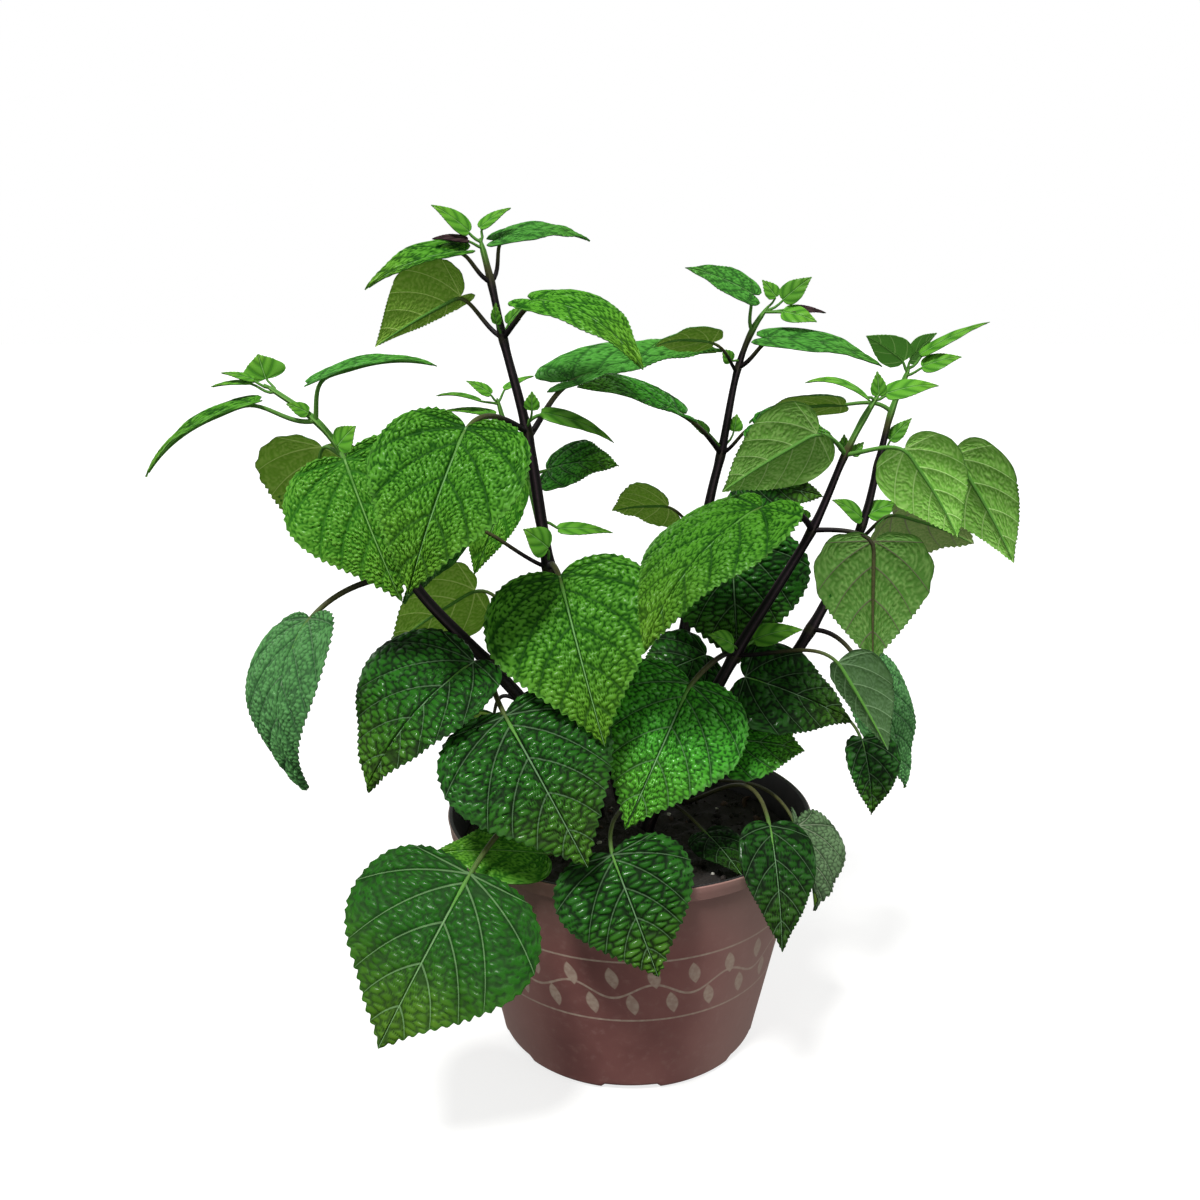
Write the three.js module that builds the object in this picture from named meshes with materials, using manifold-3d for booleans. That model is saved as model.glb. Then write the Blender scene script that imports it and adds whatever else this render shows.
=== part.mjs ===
// A young black and blue salvia in a round nursery pot, not yet in flower.
// Millimetres, +Z up. The origin is the middle of the pot's flat underside, and -Y is the front.
import * as THREE from "three";
import { mergeVertices } from "three/addons/utils/BufferGeometryUtils.js";
import Module from "manifold-3d";

const wasm = await Module();
wasm.setup();

// Driving dimensions of the pot and its soil
const potHeight = 127;
const rimRadius = 97;
const baseRadius = 70;
const wall = 1.5;
const lipHeight = 8;
const lipProud = 1.6;
const lipLean = 0.6;
const cornerRadius = 4;
const roundSides = 32; // facets round the pot and the soil
const drainHoles = 6;
const drainRadius = 4;
const drainCircle = 68.5;
const drainNotch = 2.3; // how high the holes cut into the bottom corner
const soilLevel = 107;
const soilMound = 5;
const soilEdge = 2; // how far the soil's rim lies below its level
const fit = 0.3; // the gap left between touching pieces

// Driving dimensions of the plant
const bladeThickness = 0.8;
const stemSides = 8;
const grooveDepth = 0.72; // a stem's flat sides against its four corners
const jointSwell = 1.22; // a stem's joints against the stem beside them
const rootedDepth = 34; // how deep a stem stands in the soil
const stemTaper = 1.4; // above 1 a stem keeps its thickness for longer
const swellReach = 5; // how far a joint's swelling spreads along its stem
const stemStep = 26; // the length of a stem between its rings
const stalkStep = 16; // the length of a stalk between its rings
const stalkJoint = 0.08; // where a stalk meets its blade, by share of the middle rib
const stalkSink = 0.35; // how far a stalk's middle lies under the blade's
const toothDepth = 0.045; // how far teeth stand out and notches cut in, by share of the width
const veinSlope = 0.6; // how far forward a side vein runs for its way outward

// Where the plant is seen from: places on it are given as they appear from this eye,
// by column and row of a 1200 by 1200 picture and by depth behind the pot's axis in mm.
const eye = new THREE.Vector3(-16, -584, 390);
const eyePitch = THREE.MathUtils.degToRad(14.2);
const focal = 1156;
const middle = 600;

function seenAt([column, row, depth]) {
  const across = (column - middle) / focal;
  const up = (middle - row) / focal;
  const sight = new THREE.Vector3(
    across,
    Math.cos(eyePitch) + up * Math.sin(eyePitch),
    up * Math.cos(eyePitch) - Math.sin(eyePitch),
  );
  return sight.multiplyScalar((depth - eye.y) / sight.y).add(eye);
}

// The direction that a surface faces: azimuth 0 is the front, 90 the right, and 90 up is the sky
function facing([azimuth, rise]) {
  const a = THREE.MathUtils.degToRad(azimuth);
  const r = THREE.MathUtils.degToRad(rise);
  return new THREE.Vector3(Math.cos(r) * Math.sin(a), -Math.cos(r) * Math.cos(a), Math.sin(r));
}

function toSolid(geometry) {
  const plain = geometry.clone();
  plain.deleteAttribute("normal");
  plain.deleteAttribute("uv");
  const merged = mergeVertices(plain, 1e-4);
  return new wasm.Manifold(
    new wasm.Mesh({
      numProp: 3,
      vertProperties: merged.attributes.position.array,
      triVerts: new Uint32Array(merged.index.array),
    }),
  );
}

// Collects triangles by corner, shares corners that meet and drops triangles that have shrunk to a line
class Skin {
  points = [];
  triangles = [];
  known = new Map();
  corner(p) {
    const key = [p.x, p.y, p.z].map((v) => Math.round(v * 1e4)).join();
    if (!this.known.has(key)) {
      this.known.set(key, this.points.length / 3);
      this.points.push(p.x, p.y, p.z);
    }
    return this.known.get(key);
  }
  triangle(a, b, c) {
    const corners = [a, b, c].map((p) => this.corner(p));
    if (new Set(corners).size === 3) this.triangles.push(...corners);
  }
  solid() {
    const geometry = new THREE.BufferGeometry();
    geometry.setAttribute("position", new THREE.Float32BufferAttribute(this.points, 3));
    geometry.setIndex(this.triangles);
    return toSolid(geometry);
  }
}

// A closed tube through rings of points, with fans for its ends
function ringsToSolid(rings) {
  const skin = new Skin();
  const sides = rings[0].length;
  for (let i = 1; i < rings.length; i++) {
    for (let j = 0; j < sides; j++) {
      const k = (j + 1) % sides;
      skin.triangle(rings[i - 1][j], rings[i - 1][k], rings[i][k]);
      skin.triangle(rings[i - 1][j], rings[i][k], rings[i][j]);
    }
  }
  const centreOf = (ring) =>
    ring.reduce((sum, p) => sum.add(p), new THREE.Vector3()).divideScalar(sides);
  const first = rings[0];
  const last = rings[rings.length - 1];
  const start = centreOf(first);
  const end = centreOf(last);
  for (let j = 0; j < sides; j++) {
    const k = (j + 1) % sides;
    skin.triangle(start, first[k], first[j]);
    skin.triangle(end, last[j], last[k]);
  }
  return skin.solid();
}

function tube(curve, steps, sides, radiusAt, sectionAt = () => 1) {
  const frames = curve.computeFrenetFrames(steps, false);
  const rings = [];
  for (let i = 0; i <= steps; i++) {
    const centre = curve.getPointAt(i / steps);
    const ring = [];
    for (let j = 0; j < sides; j++) {
      const angle = (2 * Math.PI * j) / sides;
      const radius = radiusAt(i / steps) * sectionAt(j);
      ring.push(
        centre
          .clone()
          .addScaledVector(frames.normals[i], radius * Math.cos(angle))
          .addScaledVector(frames.binormals[i], radius * Math.sin(angle)),
      );
    }
    rings.push(ring);
  }
  return ringsToSolid(rings);
}

// Turns a profile of [radius, height] pairs, which starts and ends on the axis, into a solid
function turned(profile) {
  const points = profile.map(([radius, height]) => new THREE.Vector2(radius, height));
  return toSolid(new THREE.LatheGeometry(points, roundSides).rotateX(Math.PI / 2));
}

// The pot: a thin cup with a flat underside, a rounded bottom corner, a lip and drain holes
const wallRadiusAt = (height) => baseRadius + ((rimRadius - baseRadius) * height) / potHeight;

function makePot() {
  const corner = 0.3 * cornerRadius;
  const underLip = potHeight - lipHeight;
  let pot = turned([
    [0, 0],
    [baseRadius - cornerRadius, 0],
    [baseRadius - corner, corner],
    [wallRadiusAt(cornerRadius), cornerRadius],
    [wallRadiusAt(underLip), underLip],
    [wallRadiusAt(underLip) + lipProud, underLip],
    [rimRadius + lipProud - lipLean, potHeight],
    [rimRadius - wall, potHeight],
    [wallRadiusAt(cornerRadius) - wall, cornerRadius + 0.5],
    [baseRadius - cornerRadius, wall],
    [0, wall],
  ]);
  for (let i = 0; i < drainHoles; i++) {
    const angle = (2 * Math.PI * i) / drainHoles - Math.PI / 2;
    const drill = new THREE.CylinderGeometry(drainRadius, drainRadius, 2 * drainNotch, 8);
    drill.rotateX(Math.PI / 2);
    drill.translate(drainCircle * Math.cos(angle), drainCircle * Math.sin(angle), 0);
    pot = pot.subtract(toSolid(drill));
  }
  return pot;
}

// The soil: fills the pot to below the lip, mounded towards the stems, with a crumbly top
function makeSoil(holes) {
  const topRings = 3;
  const radiusAt = (height) => wallRadiusAt(height) - wall - fit;
  const crumb = (x, y) =>
    1.1 * Math.sin(0.21 * x + 1.3) * Math.cos(0.17 * y) + 0.8 * Math.sin(0.37 * (x - y));
  const ring = (radius, heightAt) =>
    Array.from({ length: roundSides }, (_, j) => {
      const angle = (2 * Math.PI * j) / roundSides;
      const x = radius * Math.cos(angle);
      const y = radius * Math.sin(angle);
      return new THREE.Vector3(x, y, heightAt(x, y));
    });
  const bottom = wall + fit;
  const rings = [
    ring(baseRadius - cornerRadius - fit, () => bottom),
    ring(radiusAt(cornerRadius + 1), () => cornerRadius + 1.2),
    ring(radiusAt(soilLevel - soilEdge), () => soilLevel - soilEdge),
  ];
  for (let i = 1; i <= topRings; i++) {
    const share = 1 - i / (topRings + 1);
    const radius = radiusAt(soilLevel - soilEdge) * share;
    rings.push(ring(radius, (x, y) => soilLevel + soilMound * (1 - share * share) + crumb(x, y)));
  }
  let soil = ringsToSolid(rings);
  for (const hole of holes) soil = soil.subtract(hole);
  return soil;
}

// Stems, from the roots up: where each passes, its radius at the foot and at the tip,
// and the rows of its joints, where the leaves grow in pairs
const stems = {
  tall: {
    path: [
      [600, 835, 16], [577, 700, 12], [549, 568, 8], [527, 432, 4],
      [503, 338, 2], [491, 282, 0], [480, 238, 0],
    ],
    radius: [4.6, 1.5],
    joints: [700, 568, 432, 338, 282],
  },
  left: {
    path: [
      [586, 842, -6], [530, 712, -20], [488, 663, -25], [413, 583, -25],
      [345, 457, -20], [316, 421, -18], [264, 384, -15],
    ],
    radius: [4.4, 1.3],
    joints: [712, 663, 575, 457, 421],
  },
  middle: {
    path: [
      [655, 815, 34], [690, 600, 42], [712, 490, 45], [721, 454, 46],
      [738, 368, 48], [752, 331, 48], [768, 306, 47],
    ],
    radius: [4.4, 1.3],
    joints: [690, 540, 454, 368, 331],
  },
  right: {
    path: [
      [645, 836, 2], [690, 740, -3], [735, 655, -8], [812, 530, -14],
      [845, 455, -17], [864, 418, -18], [880, 392, -18],
    ],
    radius: [4.2, 1.3],
    joints: [740, 655, 530, 455, 418],
  },
  far: {
    path: [
      [683, 808, 38], [770, 690, 44], [815, 622, 48], [862, 525, 52],
      [879, 460, 54], [892, 410, 54], [910, 366, 52],
    ],
    radius: [4.2, 1.4],
    joints: [700, 630, 525, 465, 412],
  },
  hidden: {
    path: [
      [622, 806, 40], [590, 700, 48], [555, 590, 56], [528, 480, 62],
      [505, 425, 63], [497, 398, 62],
    ],
    radius: [3.8, 1.2],
    joints: [700, 600, 480, 425],
  },
};

function growStem(stem) {
  const seen = stem.path.map(seenAt);
  const foot = seen[0].clone();
  foot.z -= rootedDepth;
  stem.curve = new THREE.CatmullRomCurve3([foot, ...seen], false, "centripetal");
  const samples = 400;
  const rowOf = (point) => {
    const sight = point.clone().sub(eye);
    const ahead = sight.y * Math.cos(eyePitch) - sight.z * Math.sin(eyePitch);
    return middle - (focal * (sight.z * Math.cos(eyePitch) + sight.y * Math.sin(eyePitch))) / ahead;
  };
  // the share of the stem's length at which it is seen at a row
  stem.shareAt = (row) => {
    let best = 0;
    let least = Infinity;
    for (let i = 0; i <= samples; i++) {
      const miss = Math.abs(rowOf(stem.curve.getPointAt(i / samples)) - row);
      if (miss < least) [least, best] = [miss, i / samples];
    }
    return best;
  };
  const length = stem.curve.getLength();
  const shares = stem.joints.map(stem.shareAt);
  const [thick, thin] = stem.radius;
  stem.radiusAt = (share) => {
    const near = Math.min(...shares.map((s) => Math.abs(s - share))) * length;
    const swell = 1 + (jointSwell - 1) * Math.exp(-((near / swellReach) ** 2));
    return (thick + (thin - thick) * share ** stemTaper) * swell;
  };
  const steps = Math.round(length / stemStep);
  const section = (j) => (j % 2 ? grooveDepth : 1);
  // the middle of the faceted stem at a share of its length
  stem.middleAt = (share) => {
    const whole = Math.min(Math.floor(share * steps), steps - 1);
    const [a, b] = [whole, whole + 1].map((i) => stem.curve.getPointAt(i / steps));
    return a.lerp(b, share * steps - whole);
  };
  stem.solid = tube(stem.curve, steps, stemSides, stem.radiusAt, section);
  // the hole that the stem leaves in the soil and in the stalks: the fit, measured across its grooves
  const clearAt = (share) => stem.radiusAt(share) + fit * 1.15;
  stem.sleeve = tube(stem.curve, steps, stemSides, clearAt, section);
}

// The outline of half a heart-shaped leaf, as shares of its width and length: from the notch where
// the stalk joins, round the lobe to the widest place, and on to the drawn-out tip
const lobeSteps = 0.36; // the share of the outline's steps that lies before the widest place

function halfOutline(step, { lobe = 0.12, broad = 0.27, belly = 0.17 }) {
  const before = new THREE.CubicBezierCurve(
    new THREE.Vector2(0, 0),
    new THREE.Vector2(0.07, -lobe),
    new THREE.Vector2(0.5, -lobe * 1.1),
    new THREE.Vector2(0.5, broad),
  );
  const after = new THREE.CubicBezierCurve(
    new THREE.Vector2(0.5, broad),
    new THREE.Vector2(0.5, broad + 0.25),
    new THREE.Vector2(belly, 0.77),
    new THREE.Vector2(0, 1),
  );
  return step < lobeSteps
    ? before.getPoint(step / lobeSteps)
    : after.getPoint((step - lobeSteps) / (1 - lobeSteps));
}

// The line of a leaf's middle rib: an arc in the plane of its chord and its face, by share of length
function middleRib(base, tip, face, arch) {
  const along = tip.clone().sub(base);
  const chord = along.length();
  along.normalize();
  const normal = facing(face);
  normal.addScaledVector(along, -normal.dot(along)).normalize();
  const across = normal.clone().cross(along);
  const steps = 24;
  const bend = THREE.MathUtils.degToRad(arch);
  const angleAt = (s) => bend * (0.5 - Math.max(s, 0) ** 1.25);
  const trail = [[0, 0]];
  for (let i = 0; i < steps; i++) {
    const angle = angleAt((i + 0.5) / steps);
    const [x, z] = trail[i];
    trail.push([x + Math.cos(angle) / steps, z + Math.sin(angle) / steps]);
  }
  const [endX, endZ] = trail[steps];
  const turn = Math.atan2(endZ, endX);
  const length = chord / Math.hypot(endX, endZ);
  const place = (x, z) =>
    base
      .clone()
      .addScaledVector(along, length * (x * Math.cos(turn) + z * Math.sin(turn)))
      .addScaledVector(normal, length * (z * Math.cos(turn) - x * Math.sin(turn)));
  return (s) => {
    const angle = angleAt(s) - turn;
    const f = THREE.MathUtils.clamp(s, 0, 1) * steps;
    const i = Math.min(Math.floor(f), steps - 1);
    const [x0, z0] = trail[i];
    const [x1, z1] = trail[i + 1];
    const centre = place(x0 + (x1 - x0) * (f - i), z0 + (z1 - z0) * (f - i));
    const forward = along
      .clone()
      .multiplyScalar(Math.cos(angle))
      .addScaledVector(normal, Math.sin(angle));
    const out = normal
      .clone()
      .multiplyScalar(Math.cos(angle))
      .addScaledVector(along, -Math.sin(angle));
    if (s < 0) centre.addScaledVector(forward, s * length);
    return { centre, forward, out, across, length };
  };
}

// A toothed blade, folded along its middle rib and drooping towards its edge
function makeBlade(leaf, rib) {
  const { width, fold, teeth, droop = 0.22, sides = [1, 1] } = leaf;
  const tilt = THREE.MathUtils.degToRad(fold);
  const surface = (side, [x, y], level) => {
    const { centre, out, across } = rib(y);
    const reach = x * width * sides[side > 0 ? 0 : 1];
    const rise = reach * Math.sin(tilt) - (droop * reach * reach) / width;
    return centre
      .clone()
      .addScaledVector(across, side * reach * Math.cos(tilt))
      .addScaledVector(out, rise + level);
  };
  const skin = new Skin();
  const halfThick = bladeThickness / 2 / Math.cos(tilt);
  for (const side of [1, -1]) {
    // each tooth has a vein: its foot is on the middle rib and its end is the tooth's point
    const feet = [[0, 0]];
    const points = [[0, 0]];
    const notches = [[0, 0]];
    for (let i = 1; i <= teeth; i++) {
      const { x, y } = halfOutline(i / teeth, leaf);
      const last = i === teeth;
      feet.push([0, last ? 1 : Math.max(0, y - veinSlope * x)]);
      points.push(last ? [0, 1] : [x * (1 + toothDepth), y + toothDepth * 0.6]);
      const dip = halfOutline((i - 0.5) / teeth, leaf);
      notches.push([dip.x * (1 - toothDepth), dip.y]);
    }
    const edge = points.flatMap((point, i) => (i ? [notches[i], point] : [point]));
    for (const level of [halfThick, -halfThick]) {
      const at = (p) => surface(side, p, level);
      const put = (a, b, c) =>
        side * level > 0 ? skin.triangle(at(a), at(b), at(c)) : skin.triangle(at(a), at(c), at(b));
      for (let i = 1; i <= teeth; i++) {
        put(feet[i - 1], feet[i], notches[i]);
        put(feet[i - 1], notches[i], points[i - 1]);
        put(feet[i], points[i], notches[i]);
      }
    }
    for (let i = 1; i < edge.length; i++) {
      const corners = [
        surface(side, edge[i - 1], halfThick),
        surface(side, edge[i], halfThick),
        surface(side, edge[i], -halfThick),
        surface(side, edge[i - 1], -halfThick),
      ];
      if (side < 0) corners.reverse();
      skin.triangle(corners[0], corners[1], corners[2]);
      skin.triangle(corners[0], corners[2], corners[3]);
    }
  }
  return skin.solid();
}

// A leaf: its blade, and its stalk from inside the stem to a little way along the middle rib
function makeLeaf(leaf) {
  const stem = stems[leaf.stem];
  const rib = middleRib(seenAt(leaf.base), seenAt(leaf.tip), leaf.face, leaf.arch);
  const blade = makeBlade(leaf, rib);
  const share = stem.shareAt(leaf.joint);
  const start = stem.middleAt(share);
  const rise = stem.curve.getTangentAt(share);
  const root = rib(stalkJoint);
  const end = root.centre.clone().addScaledVector(root.out, -stalkSink);
  const reach = end.distanceTo(start);
  // it leaves the stem outward and a little upward
  const leave = end.clone().sub(start);
  leave.addScaledVector(rise, -leave.dot(rise)).normalize().addScaledVector(rise, 0.6);
  const stalk = new THREE.CubicBezierCurve3(
    start,
    start.clone().addScaledVector(leave.normalize(), reach * 0.4),
    end.clone().addScaledVector(root.forward, -reach * 0.33),
    end,
  );
  // a longer blade has a thicker stalk, but never more than half as thick as its stem
  const wanted = THREE.MathUtils.clamp(0.45 + rib(0).length / 95, 0.6, 1.4);
  const thick = Math.min(wanted, stem.radiusAt(share) / 2);
  const steps = THREE.MathUtils.clamp(Math.round(reach / stalkStep), 1, 4);
  const petiole = tube(stalk, steps, leaf.stalkSides, (s) => thick * (1.25 - 0.35 * s));
  return blade.add(petiole);
}

// The large leaves: the stem and the row of the joint each grows from, where its blade starts and
// ends, its width, the way its upper side faces, how far it arches along and folds across, and what
// else sets it apart: how deep its lobes reach, where it is broadest, how far its edges droop, how
// full its margin stays towards the tip, and the widths of its two halves against the width given
const leafRows = [
  ["leaf_tall_front", "tall", 568, [560, 577, -28], [605, 747, -82], 86, [-5, 25], 30, 6, { belly: 0.12 }],
  ["leaf_tall_left_large", "tall", 432, [466, 428, -50], [409, 595, -88], 76, [-12, 22], 25, 10],
  [
    "leaf_tall_right_spread", "tall", 438, [572, 380, 38], [722, 352, 62],
    58, [0, 74], 20, 8, { lobe: 0.26, sides: [1.3, 0.45] },
  ],
  [
    "leaf_tall_upper_left", "tall", 338, [461, 296, 12], [375, 347, 25],
    36, [-170, 12], 40, 8, { lobe: 0.2, sides: [1.45, 0.3] },
  ],
  [
    "leaf_tall_upper_right", "tall", 338, [534, 300, -12], [643, 370, -45],
    38, [28, 52], 55, 4, { lobe: 0.22, sides: [1.25, 0.75] },
  ],
  [
    "leaf_tall_top_left", "tall", 282, [464, 251, -6], [365, 290, -22],
    25, [-15, 55], 35, 6, { lobe: 0.16, sides: [0.35, 1.35] },
  ],
  ["leaf_tall_top_right", "tall", 282, [499, 239, 4], [590, 241, 8], 28, [0, 70], 45, 8, { lobe: 0.2 }],
  ["leaf_tall_low_left", "tall", 568, [458, 529, -2], [404, 604, -12], 44, [-62, 18], 20, 5],
  ["leaf_tall_back_left", "tall", 700, [475, 590, 25], [388, 650, 8], 54, [180, 30], 25, 6],
  ["leaf_left_front", "left", 457, [345, 460, -38], [402, 602, -58], 74, [-12, 32], 25, 6, { belly: 0.1 }],
  ["leaf_left_back", "left", 457, [322, 447, 2], [303, 538, 14], 60, [-165, 20], 30, 6],
  ["leaf_left_outer", "left", 421, [253, 403, -22], [146, 477, -34], 26, [-60, 60], 48, 14],
  ["leaf_left_inner", "left", 421, [319, 380, -24], [437, 366, -14], 26, [0, 82], 42, 14, { lobe: 0.18 }],
  [
    "leaf_left_hanging", "left", 575, [309, 619, -42], [308, 789, -66],
    70, [-48, 14], 80, 4, { lobe: 0.08, sides: [0.9, 1.12] },
  ],
  [
    "leaf_left_low_dark", "left", 663, [474, 662, -48], [368, 793, -76],
    66, [-28, 45], 55, 4, { sides: [0.78, 1.62] },
  ],
  ["leaf_left_low_front", "left", 674, [505, 716, -66], [588, 868, -113], 84, [0, 42], 15, 4],
  [
    "leaf_low_left_large", "left", 790, [470, 874, -100], [378, 1049, -142],
    94, [-8, 35], 12, 4, { broad: 0.33, lobe: 0.08 },
  ],
  ["leaf_low_left_under", "left", 828, [544, 854, -72], [433, 854, -76], 40, [0, 70], 20, 4],
  ["leaf_low_front", "right", 800, [612, 855, -94], [658, 977, -118], 66, [4, 26], 20, 4],
  ["leaf_right_low_front", "right", 655, [690, 684, -30], [625, 830, -79], 75, [6, 38], 22, 4],
  [
    "leaf_right_bright", "right", 530, [760, 508, -44], [646, 652, -82],
    70, [-50, 50], 52, 2, { lobe: 0.2, droop: 0.4, sides: [0.8, 1.45] },
  ],
  ["leaf_middle_dark", "middle", 540, [731, 541, 22], [738, 664, 10], 82, [-5, 22], 20, 4],
  ["leaf_middle_low", "middle", 672, [706, 655, 22], [634, 690, 7], 46, [0, 52], 26, 5],
  [
    "leaf_middle_left", "middle", 454, [678, 412, 14], [577, 387, -20],
    42, [0, 60], 20, 8, { lobe: 0.28, sides: [0.35, 1.1] },
  ],
  ["leaf_middle_right", "middle", 454, [755, 424, 30], [833, 438, 16], 44, [0, 68], 25, 4],
  ["leaf_middle_upper_left", "middle", 373, [712, 342, 28], [653, 347, 14], 32, [180, 64], 40, 6],
  [
    "leaf_middle_upper_right", "middle", 368, [767, 338, 38], [882, 367, 22],
    26, [0, 66], 35, 8, { lobe: 0.18 },
  ],
  [
    "leaf_middle_top_left", "middle", 331, [752, 294, 44], [685, 268, 42],
    22, [0, 50], 24, 10, { lobe: 0.2 },
  ],
  ["leaf_middle_behind", "middle", 540, [738, 486, 34], [823, 497, 22], 42, [0, 48], 25, 4],
  ["leaf_hidden_right", "hidden", 480, [548, 470, 56], [619, 466, 40], 42, [0, 56], 40, 6],
  [
    "leaf_hidden_left", "hidden", 480, [512, 478, 44], [474, 575, 30],
    42, [10, 10], 25, 6, { lobe: 0.1, sides: [0.6, 1.0] },
  ],
  ["leaf_hidden_olive", "middle", 540, [668, 506, 60], [612, 511, 76], 44, [180, 42], 25, 5],
  ["leaf_right_hanging", "right", 530, [874, 541, -26], [873, 664, -38], 58, [176, -5], 20, 4],
  ["leaf_right_upper_left", "right", 455, [817, 433, -30], [722, 492, -27], 43, [180, 12], 25, 14],
  ["leaf_right_upper_right", "right", 455, [905, 449, -32], [958, 538, -42], 44, [145, 6], 35, 5],
  ["leaf_far_outer", "far", 465, [955, 455, -6], [1014, 563, -18], 42, [145, 2], 30, 5],
  ["leaf_far_right", "far", 542, [893, 514, 22], [974, 544, 26], 58, [180, 32], 30, 5],
  ["leaf_far_left", "far", 412, [841, 405, 58], [749, 423, 70], 40, [180, 68], 35, 5],
  [
    "leaf_right_folded", "right", 655, [838, 662, -42], [888, 750, -58],
    40, [165, 8], 25, 26, { lobe: 0.04, sides: [0.5, 1.0] },
  ],
  ["leaf_far_drooping", "far", 630, [864, 670, 18], [904, 788, 8], 62, [50, 18], 30, 8],
  [
    "leaf_far_low_hanging", "far", 700, [862, 740, -16], [871, 815, -28],
    44, [25, 12], 25, 8, { sides: [1.0, 0.6] },
  ],
  ["leaf_right_low_spread", "right", 742, [745, 677, -14], [852, 722, -22], 58, [6, 54], 22, 4],
  ["leaf_right_low_under", "right", 748, [724, 740, -16], [805, 751, -20], 48, [5, 54], 25, 4],
  [
    "leaf_pot_right", "far", 802, [770, 826, -78], [782, 952, -112],
    40, [14, 26], 22, 8, { lobe: 0.08, sides: [1.0, 0.88] },
  ],
  [
    "leaf_pot_far_right", "far", 780, [797, 826, -42], [815, 911, -64],
    66, [62, 10], 25, 24, { lobe: 0.24 },
  ],
  ["leaf_back_low_left", "left", 706, [494, 714, 30], [486, 746, 66], 50, [180, 44], 30, 5],
  ["leaf_back_low", "hidden", 700, [590, 708, 84], [592, 742, 128], 54, [180, 50], 30, 5],
  ["leaf_back_low_right", "far", 715, [770, 706, 74], [786, 742, 116], 52, [170, 46], 30, 5],
  ["leaf_back_middle", "hidden", 600, [578, 604, 88], [574, 646, 126], 52, [180, 50], 30, 5],
  ["leaf_pot_inner", "right", 800, [706, 833, -28], [742, 876, -62], 26, [10, 45], 20, 6],
];

// The small leaves at the stems' tips and in the angles above the joints, one piece with their stem
const smallRows = [
  ["tall", 242, [469, 232, 0], [431, 205, -4], 14, [20, 50], 20, 10],
  ["tall", 242, [480, 228, 1], [511, 208, 4], 10, [-20, 55], 20, 10],
  ["tall", 248, [468, 240, -3], [432, 239, -8], 10, [0, 66], 20, 8],
  ["tall", 335, [497, 324, -3], [496, 303, -6], 7, [-30, 30], 15, 8],
  ["tall", 335, [508, 324, 2], [525, 305, 4], 8, [20, 50], 15, 8],
  ["tall", 424, [541, 413, 2], [614, 443, 6], 14, [10, 62], 36, 8],
  ["tall", 428, [532, 410, -5], [532, 391, -6], 8, [0, 30], 15, 8],
  ["tall", 562, [548, 548, 0], [523, 529, -6], 17, [0, 38], 20, 6],
  ["tall", 524, [558, 529, 12], [613, 533, 16], 11, [0, 62], 20, 8],
  ["hidden", 404, [481, 401, 58], [436, 396, 54], 7, [0, 76], 40, 8],
  ["hidden", 402, [491, 394, 60], [466, 381, 60], 8, [0, 50], 20, 8],
  ["hidden", 402, [504, 389, 64], [534, 376, 68], 7, [0, 70], 25, 8],
  ["hidden", 425, [496, 414, 60], [444, 411, 58], 9, [0, 70], 20, 8],
  ["left", 392, [266, 379, -12], [258, 354, -10], 22, [0, 22], 15, 6],
  ["left", 392, [252, 383, -16], [211, 387, -20], 6, [0, 72], 25, 8],
  ["left", 388, [254, 380, -17], [221, 373, -20], 6, [0, 60], 20, 8],
  ["left", 416, [308, 413, -20], [286, 404, -22], 9, [0, 50], 20, 8],
  ["left", 450, [338, 446, -24], [356, 426, -26], 15, [0, 40], 20, 6],
  ["left", 452, [350, 456, -16], [372, 449, -14], 8, [0, 60], 20, 6],
  ["middle", 310, [783, 300, 47], [812, 277, 46], 13, [10, 40], 15, 10],
  ["middle", 310, [776, 297, 48], [762, 280, 50], 9, [-10, 40], 15, 10],
  ["middle", 312, [786, 309, 46], [826, 313, 42], 8, [0, 60], 20, 8],
  ["middle", 312, [783, 312, 44], [817, 322, 36], 13, [0, 42], 20, 8],
  ["middle", 362, [731, 361, 46], [722, 349, 44], 8, [0, 30], 15, 8],
  ["middle", 448, [709, 433, 44], [686, 419, 40], 9, [0, 50], 20, 8],
  ["middle", 446, [734, 431, 48], [737, 414, 50], 9, [0, 30], 15, 8],
  ["right", 398, [879, 396, -18], [877, 371, -16], 8, [0, 20], 15, 10],
  ["right", 400, [868, 399, -20], [805, 383, -24], 12, [0, 72], 60, 8],
  ["right", 400, [886, 394, -18], [939, 386, -20], 14, [0, 56], 30, 8],
  ["right", 450, [844, 452, -11], [844, 434, -8], 6, [0, 20], 15, 8],
  ["right", 450, [852, 455, -16], [864, 442, -14], 6, [0, 40], 15, 8],
  ["right", 524, [806, 520, -10], [797, 508, -6], 8, [0, 40], 15, 8],
  ["right", 648, [754, 640, -6], [803, 630, -2], 14, [0, 55], 40, 8],
  ["right", 650, [733, 645, -14], [708, 635, -20], 13, [0, 48], 25, 8],
  ["far", 372, [904, 361, 52], [866, 336, 50], 22, [180, 50], 25, 10],
  ["far", 372, [910, 359, 54], [937, 333, 58], 18, [180, 50], 20, 10],
  ["far", 368, [920, 355, 52], [990, 322, 50], 9, [0, 62], 20, 8],
  ["far", 376, [922, 367, 50], [962, 357, 46], 13, [0, 50], 20, 8],
  ["far", 460, [890, 440, 56], [912, 418, 58], 9, [0, 45], 15, 8],
  ["far", 521, [861, 518, 48], [832, 500, 44], 15, [0, 55], 25, 8],
  ["far", 518, [868, 515, 52], [899, 503, 54], 15, [0, 55], 25, 8],
];

const leafTeeth = 7;
const shortTeeth = 6; // for blades narrower than shortWidth
const shortWidth = 45;
const smallTeeth = 3;
const smallLobe = 0.04;

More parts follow.
